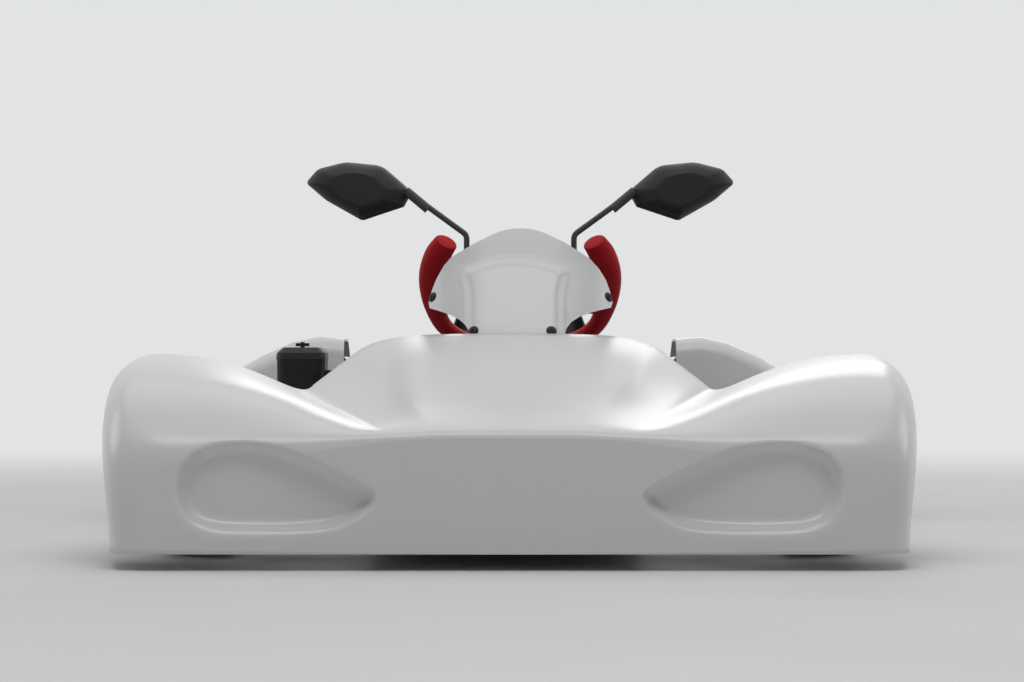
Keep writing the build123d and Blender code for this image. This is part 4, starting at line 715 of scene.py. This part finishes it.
FAN = Vector((-460, 290, 185)) * MM
FAN_RINGS = ((63, 67), (82, 86))  # inner and outer radii
FAN_RING_H, FAN_SINK = 4, 0.5  # height over the housing, depth into it
FAN_RIBS = 30
FAN_RIB = ((-1.6, 66), (1.6, 66), (2.2, 83), (-2.2, 83))  # a rib's outline, across and outwards
FAN_RIB_LEVELS = ((-FAN_SINK, 1), (2.2, 1), (2.8, 0.995))
ON_FAN = Matrix(((0, 0, -1, 0), (1, 0, 0, 0), (0, 1, 0, 0), (0, 0, 0, 1)))  # outlines upright, facing out


def fan_grille():
    """Two rings with ribs between them."""
    bm = bmesh.new()
    for low, high in FAN_RINGS:
        ring = ((low, -FAN_SINK), (low, FAN_RING_H - 1), (low + 1, FAN_RING_H), (high - 1, FAN_RING_H),
                (high, FAN_RING_H - 1), (high, -FAN_SINK))
        lathe(bm, facing(FAN, -X_AXIS), ring, 48)
    for i in range(FAN_RIBS):
        turn = Matrix.Rotation(2 * pi * i / FAN_RIBS, 4, X_AXIS)
        plate(bm, Matrix.Translation(FAN) @ turn @ ON_FAN, FAN_RIB, FAN_RIB_LEVELS)
    add_piece("fan_grille", bm, "black_plastic", "chassis")


fan_grille()

# ---- Ribs on the pedal pads and on the tank's cap

PEDAL_X, PEDAL_Y = 150, -588
PAD_RIBS, PAD_RIB_Z, PAD_RIB_STEP = 4, 204, 12  # ribs on a pad, height of the lowest and their spacing
PAD_RIB_HALF, PAD_RIB_R = 41, 3
PAD_RIB_LEVELS = ((-0.5, 1), (1.2, 1), (2.2, 0.985))
ON_PAD = Matrix(((-1, 0, 0, 0), (0, 0, 1, 0), (0, 1, 0, 0), (0, 0, 0, 1)))  # outlines upright, facing back
CAP_X, CAP_Y, CAP_RIBS, CAP_H = STEER_X - 40, -170, 28, 15
CAP_RIB = ((23, -1.5), (25.4, -0.8), (25.4, 0.8), (23, 1.5))
CAP_RIB_LEVELS = ((0, 1), (12, 1), (13, 0.99))


def grip_ribs():
    """Round-ended bars across the pads and ridges round the cap."""
    bm = bmesh.new()
    bar = [(end * PAD_RIB_HALF + PAD_RIB_R * cos(first + pi * i / 6), PAD_RIB_R * sin(first + pi * i / 6))
           for end, first in ((1, -pi / 2), (-1, pi / 2)) for i in range(7)]
    for x in (PEDAL_X, -PEDAL_X):
        for k in range(PAD_RIBS):
            place = Vector((x, PEDAL_Y, PAD_RIB_Z + PAD_RIB_STEP * k)) * MM
            plate(bm, Matrix.Translation(place) @ ON_PAD, bar, PAD_RIB_LEVELS)
    low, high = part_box("fuel_tank")
    cap = Vector((CAP_X * MM, CAP_Y * MM, high[2] - CAP_H * MM))
    for i in range(CAP_RIBS):
        turn = Matrix.Rotation(2 * pi * i / CAP_RIBS, 4, "Z")
        plate(bm, Matrix.Translation(cap) @ turn, CAP_RIB, CAP_RIB_LEVELS)
    add_piece("grip_ribs", bm, "black_plastic", "chassis")


grip_ribs()

# ---- Floor and light, in metres

PALE = (0.76, 0.77, 0.78, 1)
FLOOR_HALF = 40
FLOOR_FADE = (1.2, 4.5)  # distances between which the floor passes into the backdrop
SKY_COLOUR, SKY_STRENGTH = (0.90, 0.92, 0.95, 1), 0.14


def combine(tree, operation, first, second):
    """Two values put together by a math node."""
    node = tree.nodes.new("ShaderNodeMath")
    node.operation = operation
    tree.links.new(first, node.inputs[0])
    tree.links.new(second, node.inputs[1])
    return node.outputs[0]


def seen_rays(tree):
    """One for rays that the camera sees straight on, in gloss or through glass, else zero."""
    path = tree.nodes.new("ShaderNodeLightPath")
    seen = path.outputs["Is Camera Ray"]
    for name in ("Is Glossy Ray", "Is Transmission Ray"):
        seen = combine(tree, "MAXIMUM", seen, path.outputs[name])
    return seen


def mix_to_output(tree, share, first, second, output):
    """Two shaders mixed by a share and led to the tree's output."""
    mix = tree.nodes.new("ShaderNodeMixShader")
    tree.links.new(share, mix.inputs["Fac"])
    tree.links.new(first, mix.inputs[1])
    tree.links.new(second, mix.inputs[2])
    tree.links.new(mix.outputs["Shader"], tree.nodes[output].inputs["Surface"])


def add_floor():
    """A pale floor that passes into the backdrop away from the kart."""
    mesh = bpy.data.meshes.new("floor")
    corners = [(x * FLOOR_HALF, y * FLOOR_HALF, 0) for x, y in ((-1, -1), (1, -1), (1, 1), (-1, 1))]
    mesh.from_pydata(corners, [], [(0, 1, 2, 3)])
    floor = bpy.data.objects.new("floor", mesh)
    bpy.context.collection.objects.link(floor)
    mat = surface("floor", (0.76, 0.76, 0.76), (0.79, 0.79, 0.79), (0.65, 0.8), tone=0.7, grain=60.0)
    mesh.materials.append(mat)
    tree = mat.node_tree
    coord = tree.nodes.new("ShaderNodeTexCoord")
    away = tree.nodes.new("ShaderNodeVectorMath")
    away.operation = "LENGTH"
    tree.links.new(coord.outputs["Object"], away.inputs[0])
    fade = spread(tree, away.outputs["Value"], *FLOOR_FADE)
    glow = tree.nodes.new("ShaderNodeEmission")
    glow.inputs["Color"].default_value = PALE
    mix_to_output(tree, combine(tree, "MULTIPLY", fade, seen_rays(tree)),
                  tree.nodes["Principled BSDF"].outputs["BSDF"], glow.outputs["Emission"], "Material Output")


def add_world():
    """A weak even sky that shows as the pale backdrop."""
    world = bpy.data.worlds.new("studio")
    bpy.context.scene.world = world
    world.use_nodes = True
    tree = world.node_tree
    sky = tree.nodes["Background"]
    sky.inputs["Color"].default_value = SKY_COLOUR
    sky.inputs["Strength"].default_value = SKY_STRENGTH
    backdrop = tree.nodes.new("ShaderNodeBackground")
    backdrop.inputs["Color"].default_value = PALE
    mix_to_output(tree, seen_rays(tree), sky.outputs["Background"], backdrop.outputs["Background"], "World Output")


def area_light(name, place, aim, size, power):
    """A soft rectangular lamp aimed at a point."""
    data = bpy.data.lights.new(name, "AREA")
    data.shape = "RECTANGLE"
    data.size, data.size_y = size
    data.energy = power
    lamp = bpy.data.objects.new(name, data)
    lamp.location = place
    lamp.rotation_euler = (Vector(aim) - Vector(place)).to_track_quat("-Z", "Y").to_euler()
    bpy.context.collection.objects.link(lamp)


add_floor()
add_world()
area_light("top", (0.0, 0.0, 4.2), (0, 0, 0), (6.5, 6.5), 92)
area_light("key", (0.0, -2.2, 3.4), (0, -0.4, 0.3), (2.6, 1.0), 24)
area_light("left", (3.4, 0.2, 1.6), (0, 0, 0.25), (1.6, 1.6), 12)
area_light("right", (-3.4, 0.4, 1.6), (0, 0, 0.25), (1.6, 1.6), 12)
area_light("back", (0.6, 4.2, 2.4), (0, 0.4, 0.2), (2.4, 1.4), 20)

# ---- Camera: level, almost on the centre line, 4.5 m in front of the nose

VIEW_DISTANCE, VIEW_X, VIEW_HEIGHT = 4.5, 0.0038, 0.347
FOCAL_PX, PHOTO_WIDTH_PX = 2985.0, 1024
SENSOR_MM = 36.0
camera_data = bpy.data.cameras.new("camera")
camera_data.sensor_width = SENSOR_MM
camera_data.lens = FOCAL_PX / PHOTO_WIDTH_PX * SENSOR_MM
camera = bpy.data.objects.new("camera", camera_data)
camera.location = (VIEW_X, cad_box[0][1] - VIEW_DISTANCE, VIEW_HEIGHT)
camera.rotation_euler = (radians(90), 0, 0)
bpy.context.collection.objects.link(camera)
bpy.context.scene.camera = camera
bpy.context.scene.view_settings.view_transform = "Standard"
